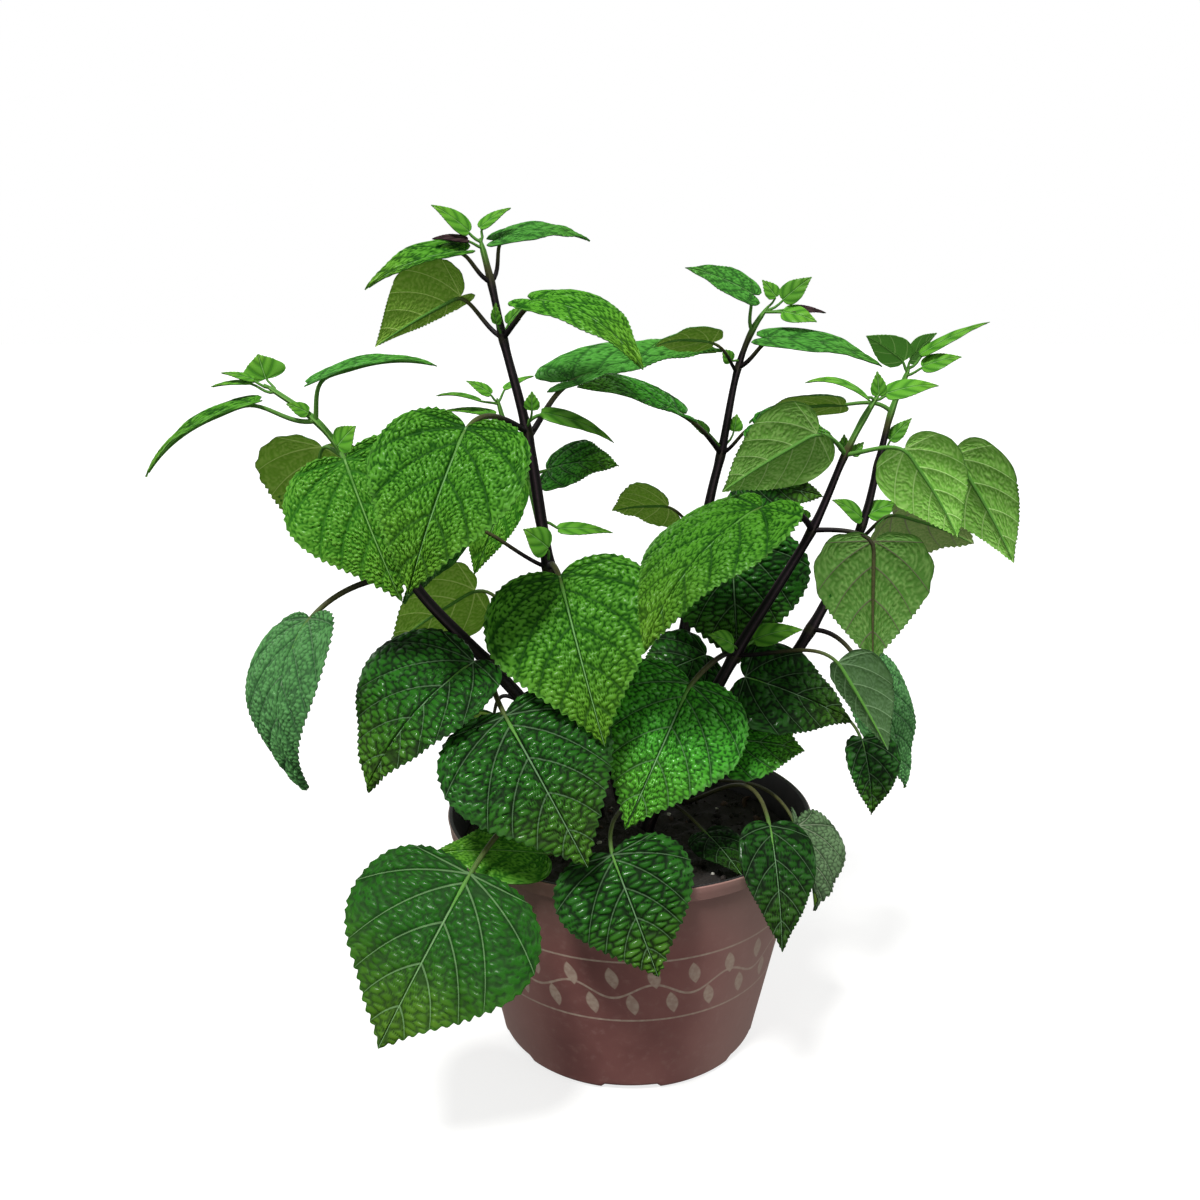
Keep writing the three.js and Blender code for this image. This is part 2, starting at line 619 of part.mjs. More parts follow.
const toLeaf = ([stem, joint, base, tip, width, face, arch, fold, more = {}]) => ({
  stem, joint, base, tip, width, face, arch, fold, ...more,
});
const leaves = leafRows.map(([name, ...row]) => {
  const leaf = toLeaf(row);
  return { ...leaf, name, teeth: leaf.width > shortWidth ? leafTeeth : shortTeeth, stalkSides: 4 };
});
const smallLeaves = smallRows.map((row) => ({
  ...toLeaf(row),
  teeth: smallTeeth,
  lobe: smallLobe,
  stalkSides: 3,
}));

// Colours of the pieces
const finish = (color, roughness) =>
  new THREE.MeshStandardMaterial({ color, roughness, metalness: 0 });
const potPlastic = finish(0x5e3a36, 0.45);
const darkSoil = finish(0x17120f, 0.95);
const darkStem = finish(0x231a24, 0.5);
const leafGreen = finish(0x2f7a24, 0.5);

function toMesh(name, solid, material) {
  const mesh = solid.getMesh();
  const geometry = new THREE.BufferGeometry();
  const positions = new Float32Array(mesh.numVert * 3);
  for (let i = 0; i < mesh.numVert; i++) {
    positions.set(mesh.vertProperties.subarray(i * mesh.numProp, i * mesh.numProp + 3), i * 3);
  }
  geometry.setAttribute("position", new THREE.BufferAttribute(positions, 3));
  geometry.setIndex(new THREE.BufferAttribute(mesh.triVerts, 1));
  geometry.computeVertexNormals();
  const made = new THREE.Mesh(geometry, material);
  made.name = name;
  return made;
}

Object.values(stems).forEach(growStem);
for (const leaf of smallLeaves) {
  const stem = stems[leaf.stem];
  stem.solid = stem.solid.add(makeLeaf(leaf));
}
const plant = new THREE.Group();
plant.add(toMesh("pot", makePot(), potPlastic));
plant.add(toMesh("soil", makeSoil(Object.values(stems).map((stem) => stem.sleeve)), darkSoil));
for (const [name, stem] of Object.entries(stems)) {
  plant.add(toMesh(`stem_${name}`, stem.solid, darkStem));
}
for (const leaf of leaves) {
  const solid = makeLeaf(leaf).subtract(stems[leaf.stem].sleeve);
  plant.add(toMesh(leaf.name, solid, leafGreen));
}

export default plant;
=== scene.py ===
import math

import bpy
import numpy as np
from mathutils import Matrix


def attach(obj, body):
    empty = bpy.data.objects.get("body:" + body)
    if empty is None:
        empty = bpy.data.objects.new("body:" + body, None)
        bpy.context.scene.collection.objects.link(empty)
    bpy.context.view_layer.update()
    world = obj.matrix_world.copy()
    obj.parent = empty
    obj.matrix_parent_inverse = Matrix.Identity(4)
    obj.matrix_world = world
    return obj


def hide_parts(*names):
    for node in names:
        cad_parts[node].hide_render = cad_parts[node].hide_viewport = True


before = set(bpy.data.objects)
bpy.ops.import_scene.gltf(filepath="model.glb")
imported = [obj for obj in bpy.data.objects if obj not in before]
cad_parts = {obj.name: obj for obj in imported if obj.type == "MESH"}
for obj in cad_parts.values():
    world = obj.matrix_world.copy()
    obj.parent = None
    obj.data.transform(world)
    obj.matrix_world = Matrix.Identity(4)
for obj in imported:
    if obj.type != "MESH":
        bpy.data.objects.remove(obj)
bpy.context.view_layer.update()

mm = 0.001
print("frame loaded:", len(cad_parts), "nodes")

# The camera stands where the photograph was taken from. Places on the plant are given as they
# appear from there: a column and a row of the square frame, and the depth behind the pot's axis.
view = {
    "eye": (-16, -584, 390),
    "pitch": 14.2,  # degrees below the horizon
    "focal": 1156,  # pixels
    "frame": 1200,  # pixels across and down
    "sensor": 36,
}


def seenAt(place):
    column, row, depth = place
    pitch = math.radians(view["pitch"])
    across = (column - view["frame"] / 2) / view["focal"]
    up = (view["frame"] / 2 - row) / view["focal"]
    sight = np.array([
        across,
        math.cos(pitch) + up * math.sin(pitch),
        up * math.cos(pitch) - math.sin(pitch),
    ])
    eye = np.array(view["eye"], float)
    return eye + sight * (depth - eye[1]) / sight[1]


def rowOf(points):
    pitch = math.radians(view["pitch"])
    sight = points - np.array(view["eye"], float)
    ahead = sight[:, 1] * math.cos(pitch) - sight[:, 2] * math.sin(pitch)
    up = sight[:, 2] * math.cos(pitch) + sight[:, 1] * math.sin(pitch)
    return view["frame"] / 2 - view["focal"] * up / ahead


def makeCamera():
    data = bpy.data.cameras.new("photographCamera")
    data.sensor_width = view["sensor"]
    data.lens = view["focal"] * view["sensor"] / view["frame"]
    data.clip_start, data.clip_end = 0.01, 50
    camera = bpy.data.objects.new("photographCamera", data)
    camera.location = [v * mm for v in view["eye"]]
    camera.rotation_euler = (math.radians(90 - view["pitch"]), 0, 0)
    bpy.context.scene.collection.objects.link(camera)
    bpy.context.scene.camera = camera


makeCamera()
print("camera set")


# Shader maths is written as expressions: each operator on a Signal adds a Math node.
class Signal:
    def __init__(self, recipe, socket):
        self.recipe = recipe
        self.socket = socket

    def math(self, operation, *others):
        inputs = dict(enumerate((self, *others)))
        return self.recipe.node("ShaderNodeMath", {"operation": operation}, inputs)

    def turned(self, operation, other):
        return self.recipe.node("ShaderNodeMath", {"operation": operation}, {0: other, 1: self})

    def __add__(self, other):
        return self.math("ADD", other)

    def __sub__(self, other):
        return self.math("SUBTRACT", other)

    def __rsub__(self, other):
        return self.turned("SUBTRACT", other)

    def __mul__(self, other):
        return self.math("MULTIPLY", other)

    def __truediv__(self, other):
        return self.math("DIVIDE", other)

    def __abs__(self):
        return self.math("ABSOLUTE")

    __radd__ = __add__
    __rmul__ = __mul__

    def smooth(self, low, high):  # 0 below low, 1 above high
        settings = {"interpolation_type": "SMOOTHSTEP"}
        return self.recipe.node("ShaderNodeMapRange", settings, {0: self, 1: low, 2: high})


# A node tree being put together, for a material or for the world
class Recipe:
    def __init__(self, owner):
        owner.use_nodes = True
        self.owner = owner
        self.tree = owner.node_tree
        self.tree.nodes.clear()

    def node(self, kind, settings=None, inputs=None, output=0):
        made = self.tree.nodes.new(kind)
        for key, value in (settings or {}).items():
            setattr(made, key, value)
        for key, value in (inputs or {}).items():
            if isinstance(value, Signal):
                self.tree.links.new(value.socket, made.inputs[key])
            else:
                made.inputs[key].default_value = value
        return Signal(self, made.outputs[output]) if len(made.outputs) else made

    def value(self, name):  # a number that the mesh carries at each point
        return self.node("ShaderNodeAttribute", {"attribute_name": name}, output=2)

    def place(self):
        return self.node("ShaderNodeTexCoord", output=3)

    def noise(self, scale, detail=2, roughness=0.5):
        inputs = {"Scale": scale, "Detail": detail, "Roughness": roughness}
        inputs["Vector"] = self.place()
        return self.node("ShaderNodeTexNoise", {"noise_dimensions": "3D"}, inputs)

    def mix(self, first, second, factor):
        inputs = {0: factor, 6: first, 7: second}
        return self.node("ShaderNodeMix", {"data_type": "RGBA"}, inputs, output=2)

    def shade(self, colour, factor):  # multiplies a colour by a number
        settings = {"operation": "SCALE"}
        return self.node("ShaderNodeVectorMath", settings, {0: colour, 3: factor})

    def relief(self, height, distance, strength):  # a fine bump, its distance in mm
        inputs = {"Height": height, "Distance": distance * mm, "Strength": strength}
        return self.node("ShaderNodeBump", {}, inputs)

    def surface(self, **inputs):
        names = {key.replace("_", " "): value for key, value in inputs.items()}
        shader = self.node("ShaderNodeBsdfPrincipled", {}, names)
        self.node("ShaderNodeOutputMaterial", {}, {"Surface": shader})
        return self.owner


def paint(code):  # a colour written as rrggbb, as the renderer counts light
    parts = [int(code[i:i + 2], 16) / 255 for i in (0, 2, 4)]
    light = (p / 12.92 if p <= 0.04045 else ((p + 0.055) / 1.055) ** 2.4 for p in parts)
    return (*light, 1.0)


def newMaterial(name):
    return Recipe(bpy.data.materials.new(name))


# A mesh being gathered: points in millimetres, triangles, the finish of each triangle, and the
# numbers that the finishes read at each point
class Skin:
    def __init__(self, *names):
        self.names = names
        self.points = []
        self.triangles = []
        self.finishes = []
        self.values = {name: [] for name in names}
        self.count = 0

    def add(self, points, triangles, finish, **values):
        points = np.asarray(points, float).reshape(-1, 3)
        self.points.append(points)
        self.triangles.append(np.asarray(triangles, int).reshape(-1, 3) + self.count)
        self.finishes.append(np.full(len(self.triangles[-1]), finish))
        for name in self.names:
            given = np.asarray(values.get(name, 0.0), float)
            self.values[name].append(np.broadcast_to(given.reshape(-1), len(points)))
        self.count += len(points)

    def gather(self):
        points = np.concatenate(self.points)
        triangles = np.concatenate(self.triangles)
        finishes = np.concatenate(self.finishes)
        values = {name: np.concatenate(parts) for name, parts in self.values.items()}
        # points less than a thousandth of a millimetre apart become one, and triangles that have
        # shrunk to a line go
        keys = np.round(points * 1e3).astype(np.int64)
        _, first, number = np.unique(keys, axis=0, return_index=True, return_inverse=True)
        number = number.reshape(-1)
        triangles = number[triangles]
        a, b, c = triangles.T
        kept = (a != b) & (b != c) & (c != a)
        values = {name: part[first] for name, part in values.items()}
        return points[first], triangles[kept], finishes[kept], values

    def piece(self, name, materials, sharp=75):
        points, triangles, finishes, values = self.gather()
        mesh = bpy.data.meshes.new(name)
        mesh.vertices.add(len(points))
        mesh.vertices.foreach_set("co", (points * mm).astype(np.float32).ravel())
        mesh.loops.add(triangles.size)
        mesh.loops.foreach_set("vertex_index", triangles.astype(np.int32).ravel())
        mesh.polygons.add(len(triangles))
        starts = np.arange(0, triangles.size, 3, dtype=np.int32)
        mesh.polygons.foreach_set("loop_start", starts)
        for material in materials:
            mesh.materials.append(material)
        mesh.polygons.foreach_set("material_index", finishes.astype(np.int32))
        for key, part in values.items():
            layer = mesh.attributes.new(key, "FLOAT", "POINT")
            layer.data.foreach_set("value", part.astype(np.float32))
        mesh.update(calc_edges=True)
        mesh.validate()
        mesh.shade_smooth()
        mesh.set_sharp_from_angle(angle=math.radians(sharp))
        made = bpy.data.objects.new(name, mesh)
        bpy.context.scene.collection.objects.link(made)
        return made


def gridTriangles(rows, columns, flip=False):
    # over points numbered row by row: two triangles for each square
    i, j = np.meshgrid(np.arange(rows - 1), np.arange(columns - 1), indexing="ij")
    a = (i * columns + j).ravel()
    b, c, d = a + columns, a + columns + 1, a + 1
    faces = np.concatenate([np.stack([a, b, d], 1), np.stack([b, c, d], 1)])
    return faces[:, ::-1] if flip else faces


def ringTriangles(rings, sides):
    # over closed rings of points, with a fan over each end
    i, j = np.meshgrid(np.arange(rings - 1), np.arange(sides), indexing="ij")
    k = (j + 1) % sides
    a, b = (i * sides + j).ravel(), (i * sides + k).ravel()
    c, d = a + sides, b + sides
    j = np.arange(1, sides - 1)
    last = (rings - 1) * sides
    start = np.stack([np.zeros_like(j), j + 1, j], 1)
    end = np.stack([np.zeros_like(j) + last, last + j, last + j + 1], 1)
    return np.concatenate([np.stack([a, b, d], 1), np.stack([a, d, c], 1), start, end])


def unit(vector):
    return vector / np.maximum(np.linalg.norm(vector, axis=-1, keepdims=True), 1e-9)


def ease(value, low, high):
    share = np.clip((value - low) / (high - low), 0, 1)
    return share * share * (3 - 2 * share)


def bezier(points, share):
    p0, p1, p2, p3 = [np.asarray(p, float) for p in points]
    s = np.asarray(share, float)[:, None]
    return (1 - s) ** 3 * p0 + 3 * (1 - s) ** 2 * s * p1 + 3 * (1 - s) * s * s * p2 + s ** 3 * p3


def facing(direction):
    # azimuth 0 is the front and 90 the right, and 90 up is the sky
    azimuth, rise = [math.radians(v) for v in direction]
    return np.array([
        math.cos(rise) * math.sin(azimuth),
        -math.cos(rise) * math.cos(azimuth),
        math.sin(rise),
    ])


# A line through space, read by share of its length, with a frame that doesn't twist along it
class Path:
    def __init__(self, dense):
        self.dense = dense
        runs = np.linalg.norm(np.diff(dense, axis=0), axis=1)
        reach = np.concatenate([[0], np.cumsum(runs)])
        self.length = reach[-1]
        self.shares = reach / self.length
        self.tangents = unit(np.gradient(dense, axis=0))
        first = self.tangents[0]
        least = np.eye(3)[np.argmin(np.abs(first))]
        normal = np.cross(first, unit(np.cross(first, least)))
        normals = []
        for tangent in self.tangents:
            normal = unit(normal - tangent * (normal @ tangent))
            normals.append(normal)
        self.normals = np.array(normals)

    def read(self, rows, share):
        return np.stack([np.interp(share, self.shares, rows[:, i]) for i in range(3)], -1)

    def at(self, share):
        return self.read(self.dense, share)

    def tangent(self, share):
        return unit(self.read(self.tangents, share))

    def tube(self, shares, sides, radius, section=None):
        # rings of points: radius at each share, shaped by section at each angle
        angle = np.arange(sides) / sides * 2 * np.pi
        tangent = self.tangent(shares)
        normal = self.read(self.normals, shares)
        normal = unit(normal - tangent * np.sum(normal * tangent, 1, keepdims=True))
        binormal = np.cross(tangent, normal)
        shape = np.ones(sides) if section is None else section(angle)
        reach = np.asarray(radius)[:, None] * shape
        return (
            self.at(shares)[:, None]
            + normal[:, None] * (reach * np.cos(angle))[..., None]
            + binormal[:, None] * (reach * np.sin(angle))[..., None]
        )


def throughPlaces(places, steps=40):
    # a centripetal Catmull-Rom line
    ends = [2 * places[0] - places[1]], [2 * places[-1] - places[-2]]
    p = np.concatenate([ends[0], places, ends[1]])
    gaps = np.maximum(np.linalg.norm(np.diff(p, axis=0), axis=1) ** 0.5, 1e-4)
    u = np.arange(steps)[:, None] / steps
    parts = []
    for i in range(1, len(p) - 2):
        g0, g1, g2 = gaps[i - 1:i + 2]
        t1 = (p[i] - p[i - 1]) / g0 - (p[i + 1] - p[i - 1]) / (g0 + g1) + (p[i + 1] - p[i]) / g1
        t2 = (p[i + 1] - p[i]) / g1 - (p[i + 2] - p[i]) / (g1 + g2) + (p[i + 2] - p[i + 1]) / g2
        t1, t2 = t1 * g1, t2 * g1
        bow = 2 * p[i] - 2 * p[i + 1] + t1 + t2
        lean = -3 * p[i] + 3 * p[i + 1] - 2 * t1 - t2
        parts.append(bow * u ** 3 + lean * u ** 2 + t1 * u + p[i])
    parts.append(p[-2:-1])
    return Path(np.concatenate(parts))


# Leaf finishes. The upper side has painted shade in its grooves and a painted highlight on the
# cushions between them; in older leaves the veins show pale. The under side is paler, with its
# veins standing out as a net. ribs and net say how pale the side veins and the finer veins are,
# warm how yellow the tip is, and depth how dark the painted shade in the grooves is.
upperKeys = ("groove", "crest", "vein", "rim", "ribs", "net", "gloss", "warm", "coat", "depth")
upperLooks = {
    "bright": ("18520a", "488620", "86bc70", "5f9c3c", 0.1, 0.0, 0.34, 0.35, 0.45, 0.42),
    "fresh": ("266812", "56942a", "8fc46c", "68a43e", 0.12, 0.0, 0.32, 0.25, 0.45, 0.25),
    "middle": ("205618", "42842e", "78a866", "4a8038", 0.2, 0.05, 0.3, 0.1, 0.5, 0.35),
    "deep": ("11420a", "35801e", "84b478", "477c34", 0.4, 0.03, 0.22, 0.25, 0.8, 0.4),
    "dark": ("062404", "215a14", "7ca674", "2c5624", 0.65, 0.05, 0.2, 0.2, 0.45, 0.5),
    "broad": ("103c0a", "1e5810", "88b478", "30621c", 0.75, 0.08, 0.24, 0.35, 0.15, 0.35),
    "grey": ("28542a", "4c8246", "93b48c", "4a7844", 0.4, 0.1, 0.36, 0.0, 0.5, 0.3),
    "dry": ("34502f", "58744e", "98a888", "2c3a24", 0.9, 0.2, 0.4, 0.0, 0.15, 0.5),
    "purple": ("1c1016", "3c2a2c", "4a4636", "2a1c20", 0.2, 0.1, 0.4, 0.0, 0.3, 0.3),
}
underKeys = ("blade", "vein", "rib", "net")
underLooks = {
    "olive": ("547a20", "8ca650", "94ac5c", 0.35),
    "pale": ("588a30", "92b766", "9cbc74", 0.45),
    "veined": ("3a6220", "6c8c4a", "544840", 0.5),
    "dusky": ("58703a", "74804e", "5a5348", 0.5),
    "soft": ("426436", "70906a", "7c9c70", 0.2),
    "young": ("4b8230", "80ad58", "86b060", 0.2),
    "purple": ("3a262c", "54403e", "54403e", 0.3),
}
leafGrain = {
    "tip": "7c9c2a",  # what leaves turn to at their tips
    "mottle": 30,  # patches to a metre, on the upper side
    "underMottle": 45,
    "cushions": 420,  # noise that stands in for cushions where the mesh is coarse
    "fine": 1400,
    "underFine": 1500,
    # a painted glow: the under side shines by itself, in place of sky light through the blade
    "paintedGlow": 0.32,  # light from the sky that shines through to the under side
}


def upperFinish(name, look):
    r = newMaterial(f"leaf_upper_{name}")
    given, tint, edge = r.value("relief"), r.value("tint"), r.value("edge")
    # where the mesh is coarse its relief is given as -1, and noise stands in for it
    plain = (given * -1).smooth(0.2, 0.8)
    cushions = r.noise(leafGrain["cushions"], 2).smooth(0.3, 0.7)
    relief = given.math("MAXIMUM", 0) + plain * cushions
    midrib = 1 - r.value("midrib").smooth(0.5, 1.3)
    rib = 1 - r.value("rib").smooth(0.4, 1.2)
    net = r.value("net")
    mottle, grain = r.noise(leafGrain["mottle"], 3), r.noise(leafGrain["fine"], 2)
    # the blade's green with painted shade and highlight: darker in the grooves, lighter on the
    # cushions
    colour = r.mix(paint(look["groove"]), paint(look["crest"]), relief.smooth(0.05, 0.75))
    warm = r.value("along").smooth(0.35, 1.0) * mottle * (2 * look["warm"])
    colour = r.mix(colour, paint(leafGrain["tip"]), warm * (0.3 + relief * 0.7))
    lines = (rib * look["ribs"] + net * look["net"]).math("MINIMUM", 1) * 0.8
    lines = lines.math("MAXIMUM", midrib * 0.8)
    colour = r.mix(colour, paint(look["vein"]), lines)
    colour = r.mix(colour, paint(look["rim"]), edge.smooth(0.93, 1.0) * 0.5)
    # more painted shade: the grooves darken by depth; mottle and tint vary the tone at random
    shade = 1 - (1 - relief.smooth(0, 0.65)) * look["depth"]
    shadeAndTone = shade * (0.66 + mottle * 0.33 + tint * 0.24)
    colour = r.shade(colour, shadeAndTone.math("MAXIMUM", lines * 0.9))
    height = relief * 1.2 + grain * 0.35 + midrib * 0.4
    roughness = look["gloss"] + 0.1 + (1 - relief) * 0.3 + grain * 0.1
    normal = r.relief(height, 0.25, 0.8)
    return r.surface(
        Base_Color=colour, Roughness=roughness, Normal=normal, Specular_IOR_Level=0.06,
        Coat_Weight=relief.smooth(0.5, 1.0) * look["coat"], Coat_Roughness=look["gloss"],
    )


def underFinish(name, look):
    r = newMaterial(f"leaf_under_{name}")
    tint, edge, net = r.value("tint"), r.value("edge"), r.value("net")
    midrib = 1 - r.value("midrib").smooth(0.6, 1.6)
    rib = 1 - r.value("rib").smooth(0.5, 1.7)
    mottle = r.noise(leafGrain["underMottle"], 3)
    grain = r.noise(leafGrain["underFine"], 2)
    main = (rib * 0.75).math("MAXIMUM", midrib)
    colour = r.mix(paint(look["blade"]), paint(look["vein"]), net * look["net"])
    colour = r.mix(colour, paint(look["rib"]), main * 0.85)
    colour = r.shade(colour, 0.72 + mottle * 0.3 + tint * 0.25 - edge.smooth(0.93, 1.0) * 0.12)
    height = main.math("MAXIMUM", net * 0.6) + grain * 0.35
    normal = r.relief(height, 0.3, 0.8)
    # the under side glows with its own colour, a painted glow in place of light through the blade
    return r.surface(
        Base_Color=colour, Roughness=0.6, Normal=normal, Specular_IOR_Level=0.16,
        Emission_Color=colour, Emission_Strength=leafGrain["paintedGlow"],
    )


# Stems and stalks: nearly black, with a painted highlight along their corners, turning green
# where they are young
# the second colour of each pair is the corners' painted highlight
stemColours = {  # in the grooves and on the corners
    "old": ("080508", "64525a"),
    "turning": ("2e2c1c", "54562f"),
    "young": ("3c7424", "7cac54"),
}


def stalkFinish():
    r = newMaterial("stem_skin")
    green, ridge = r.value("green"), r.value("ridge")
    streaks = r.noise(700, 3, 0.6)
    # the corners are paler as a painted highlight, broken up by streaks
    factors = {
        "old": ridge * (0.04 + streaks * 0.5), "turning": streaks,
        "young": ridge * 0.6 + streaks * 0.3,
    }
    ages = {age: r.mix(*map(paint, stemColours[age]), factors[age]) for age in stemColours}
    colour = r.mix(ages["old"], ages["turning"], green.smooth(0.15, 0.5))
    colour = r.mix(colour, ages["young"], green.smooth(0.45, 0.85))
    return r.surface(
        Base_Color=colour, Roughness=0.42 + streaks * 0.2, Specular_IOR_Level=0.15,
        Normal=r.relief(streaks, 0.12, 0.7),
    )


def madeFinishes(maker, keys, looks):
    return {name: maker(name, dict(zip(keys, look))) for name, look in looks.items()}


upperFinishes = madeFinishes(upperFinish, upperKeys, upperLooks)
underFinishes = madeFinishes(underFinish, underKeys, underLooks)
stalkSkin = stalkFinish()
print("leaf and stem finishes made")


# Stems, from the roots up: the radius of each at the foot and at the tip, the share of its length
# from which it is green, the rows of its joints, where leaves grow in pairs, and where it passes
stems = {
    "tall": ((4.6, 1.5), 0.97, (700, 568, 432, 338, 282), [
        (600, 835, 16), (577, 700, 12), (549, 568, 8), (527, 432, 4), (503, 338, 2),
        (491, 282, 0), (480, 238, 0),
    ]),
    "left": ((4.4, 1.3), 0.82, (712, 663, 575, 457, 421), [
        (586, 842, -6), (530, 712, -20), (488, 663, -25), (413, 583, -25), (345, 457, -20),
        (316, 421, -18), (264, 384, -15),
    ]),
    "middle": ((4.4, 1.3), 0.95, (690, 540, 454, 368, 331), [
        (655, 815, 34), (690, 600, 42), (712, 490, 45), (721, 454, 46), (738, 368, 48),
        (752, 331, 48), (768, 306, 47),
    ]),
    "right": ((4.2, 1.3), 0.91, (740, 655, 530, 455, 418), [
        (645, 836, 2), (690, 740, -3), (735, 655, -8), (812, 530, -14), (845, 455, -17),
        (864, 418, -18), (880, 392, -18),
    ]),
    "far": ((4.2, 1.4), 0.91, (700, 630, 525, 465, 412), [
        (683, 808, 38), (770, 690, 44), (815, 622, 48), (862, 525, 52), (879, 460, 54),
        (892, 410, 54), (910, 366, 52),
    ]),
    "hidden": ((3.8, 1.2), 0.75, (700, 600, 480, 425), [
        (622, 806, 40), (590, 700, 48), (555, 590, 56), (528, 480, 62), (505, 425, 63),
        (497, 398, 62),
    ]),
}
stemShape = {
    "rooted": 34,  # how deep a stem stands in the soil
    "swell": 1.22,  # a joint against the stem beside it
    "spread": 5,  # how far a joint's swelling reaches along the stem
    "taper": 1.4,  # above 1 a stem keeps its thickness for longer
    "sides": 24,
    "step": 3,  # between rings
    "corner": 0.26,  # how far its four corners stand out
    "groove": 0.05,  # how deep the groove down each side is
    "closing": (0.985, 0.7),  # the share of its length from which the tip closes, and how far
    "turning": (-0.07, 0.05),  # where green starts and is full, about the share given for it
    "jointGreen": 0.28,
}
stemValues = ("relief", "tint", "edge", "along", "midrib", "rib", "net", "green", "ridge")


def squareSection(angle):
    # four rounded corners, and a groove down the middle of each side
    corner = 0.73 + stemShape["corner"] * (0.5 + 0.5 * np.cos(4 * angle)) ** 1.2
    middle = np.abs((angle / (np.pi / 2)) % 1 - 0.5) * 90
    return corner - stemShape["groove"] * np.exp(-((middle / 12) ** 2))


class Stem:
    def __init__(self, radius, young, joints, places):
        seen = np.array([seenAt(place) for place in places])
        foot = seen[:1] - [[0, 0, stemShape["rooted"]]]
        self.path = throughPlaces(np.concatenate([foot, seen]))
        self.thick, self.thin = radius
        self.young = young
        self.skin = Skin(*stemValues)
        self.joints = np.array([self.shareAt(joint) for joint in joints])

    def shareAt(self, row):
        shares = np.linspace(0, 1, 801)
        return shares[np.argmin(np.abs(rowOf(self.path.at(shares)) - row))]

    def nearJoint(self, share):
        apart = np.abs(np.asarray(share)[..., None] - self.joints).min(-1) * self.path.length
        return np.exp(-((apart / stemShape["spread"]) ** 2))

    def radiusAt(self, share):
        swell = 1 + (stemShape["swell"] - 1) * self.nearJoint(share)
        return (self.thick + (self.thin - self.thick) * share ** stemShape["taper"]) * swell

    def greenAt(self, share):
        start, full = stemShape["turning"]
        fresh = ease(share, self.young + start, self.young + full)
        return np.maximum(fresh, self.nearJoint(share) * stemShape["jointGreen"])

    def grow(self):
        count = round(self.path.length / stemShape["step"])
        shares = np.linspace(0, 1, count)
        # the very tip closes over instead of ending flat
        start, part = stemShape["closing"]
        radius = self.radiusAt(shares) * (1 - ease(shares, start, 1.0) * part)
        sides = stemShape["sides"]
        rings = self.path.tube(shares, sides, radius, squareSection)
        angle = np.arange(sides) / sides * 2 * np.pi
        # a painted highlight down the four corners
        ridge = np.broadcast_to((0.5 + 0.5 * np.cos(4 * angle)) ** 3, (count, sides))
        green = np.broadcast_to(self.greenAt(shares)[:, None], (count, sides))
        self.skin.add(rings, ringTriangles(count, sides), 0, green=green, ridge=ridge)


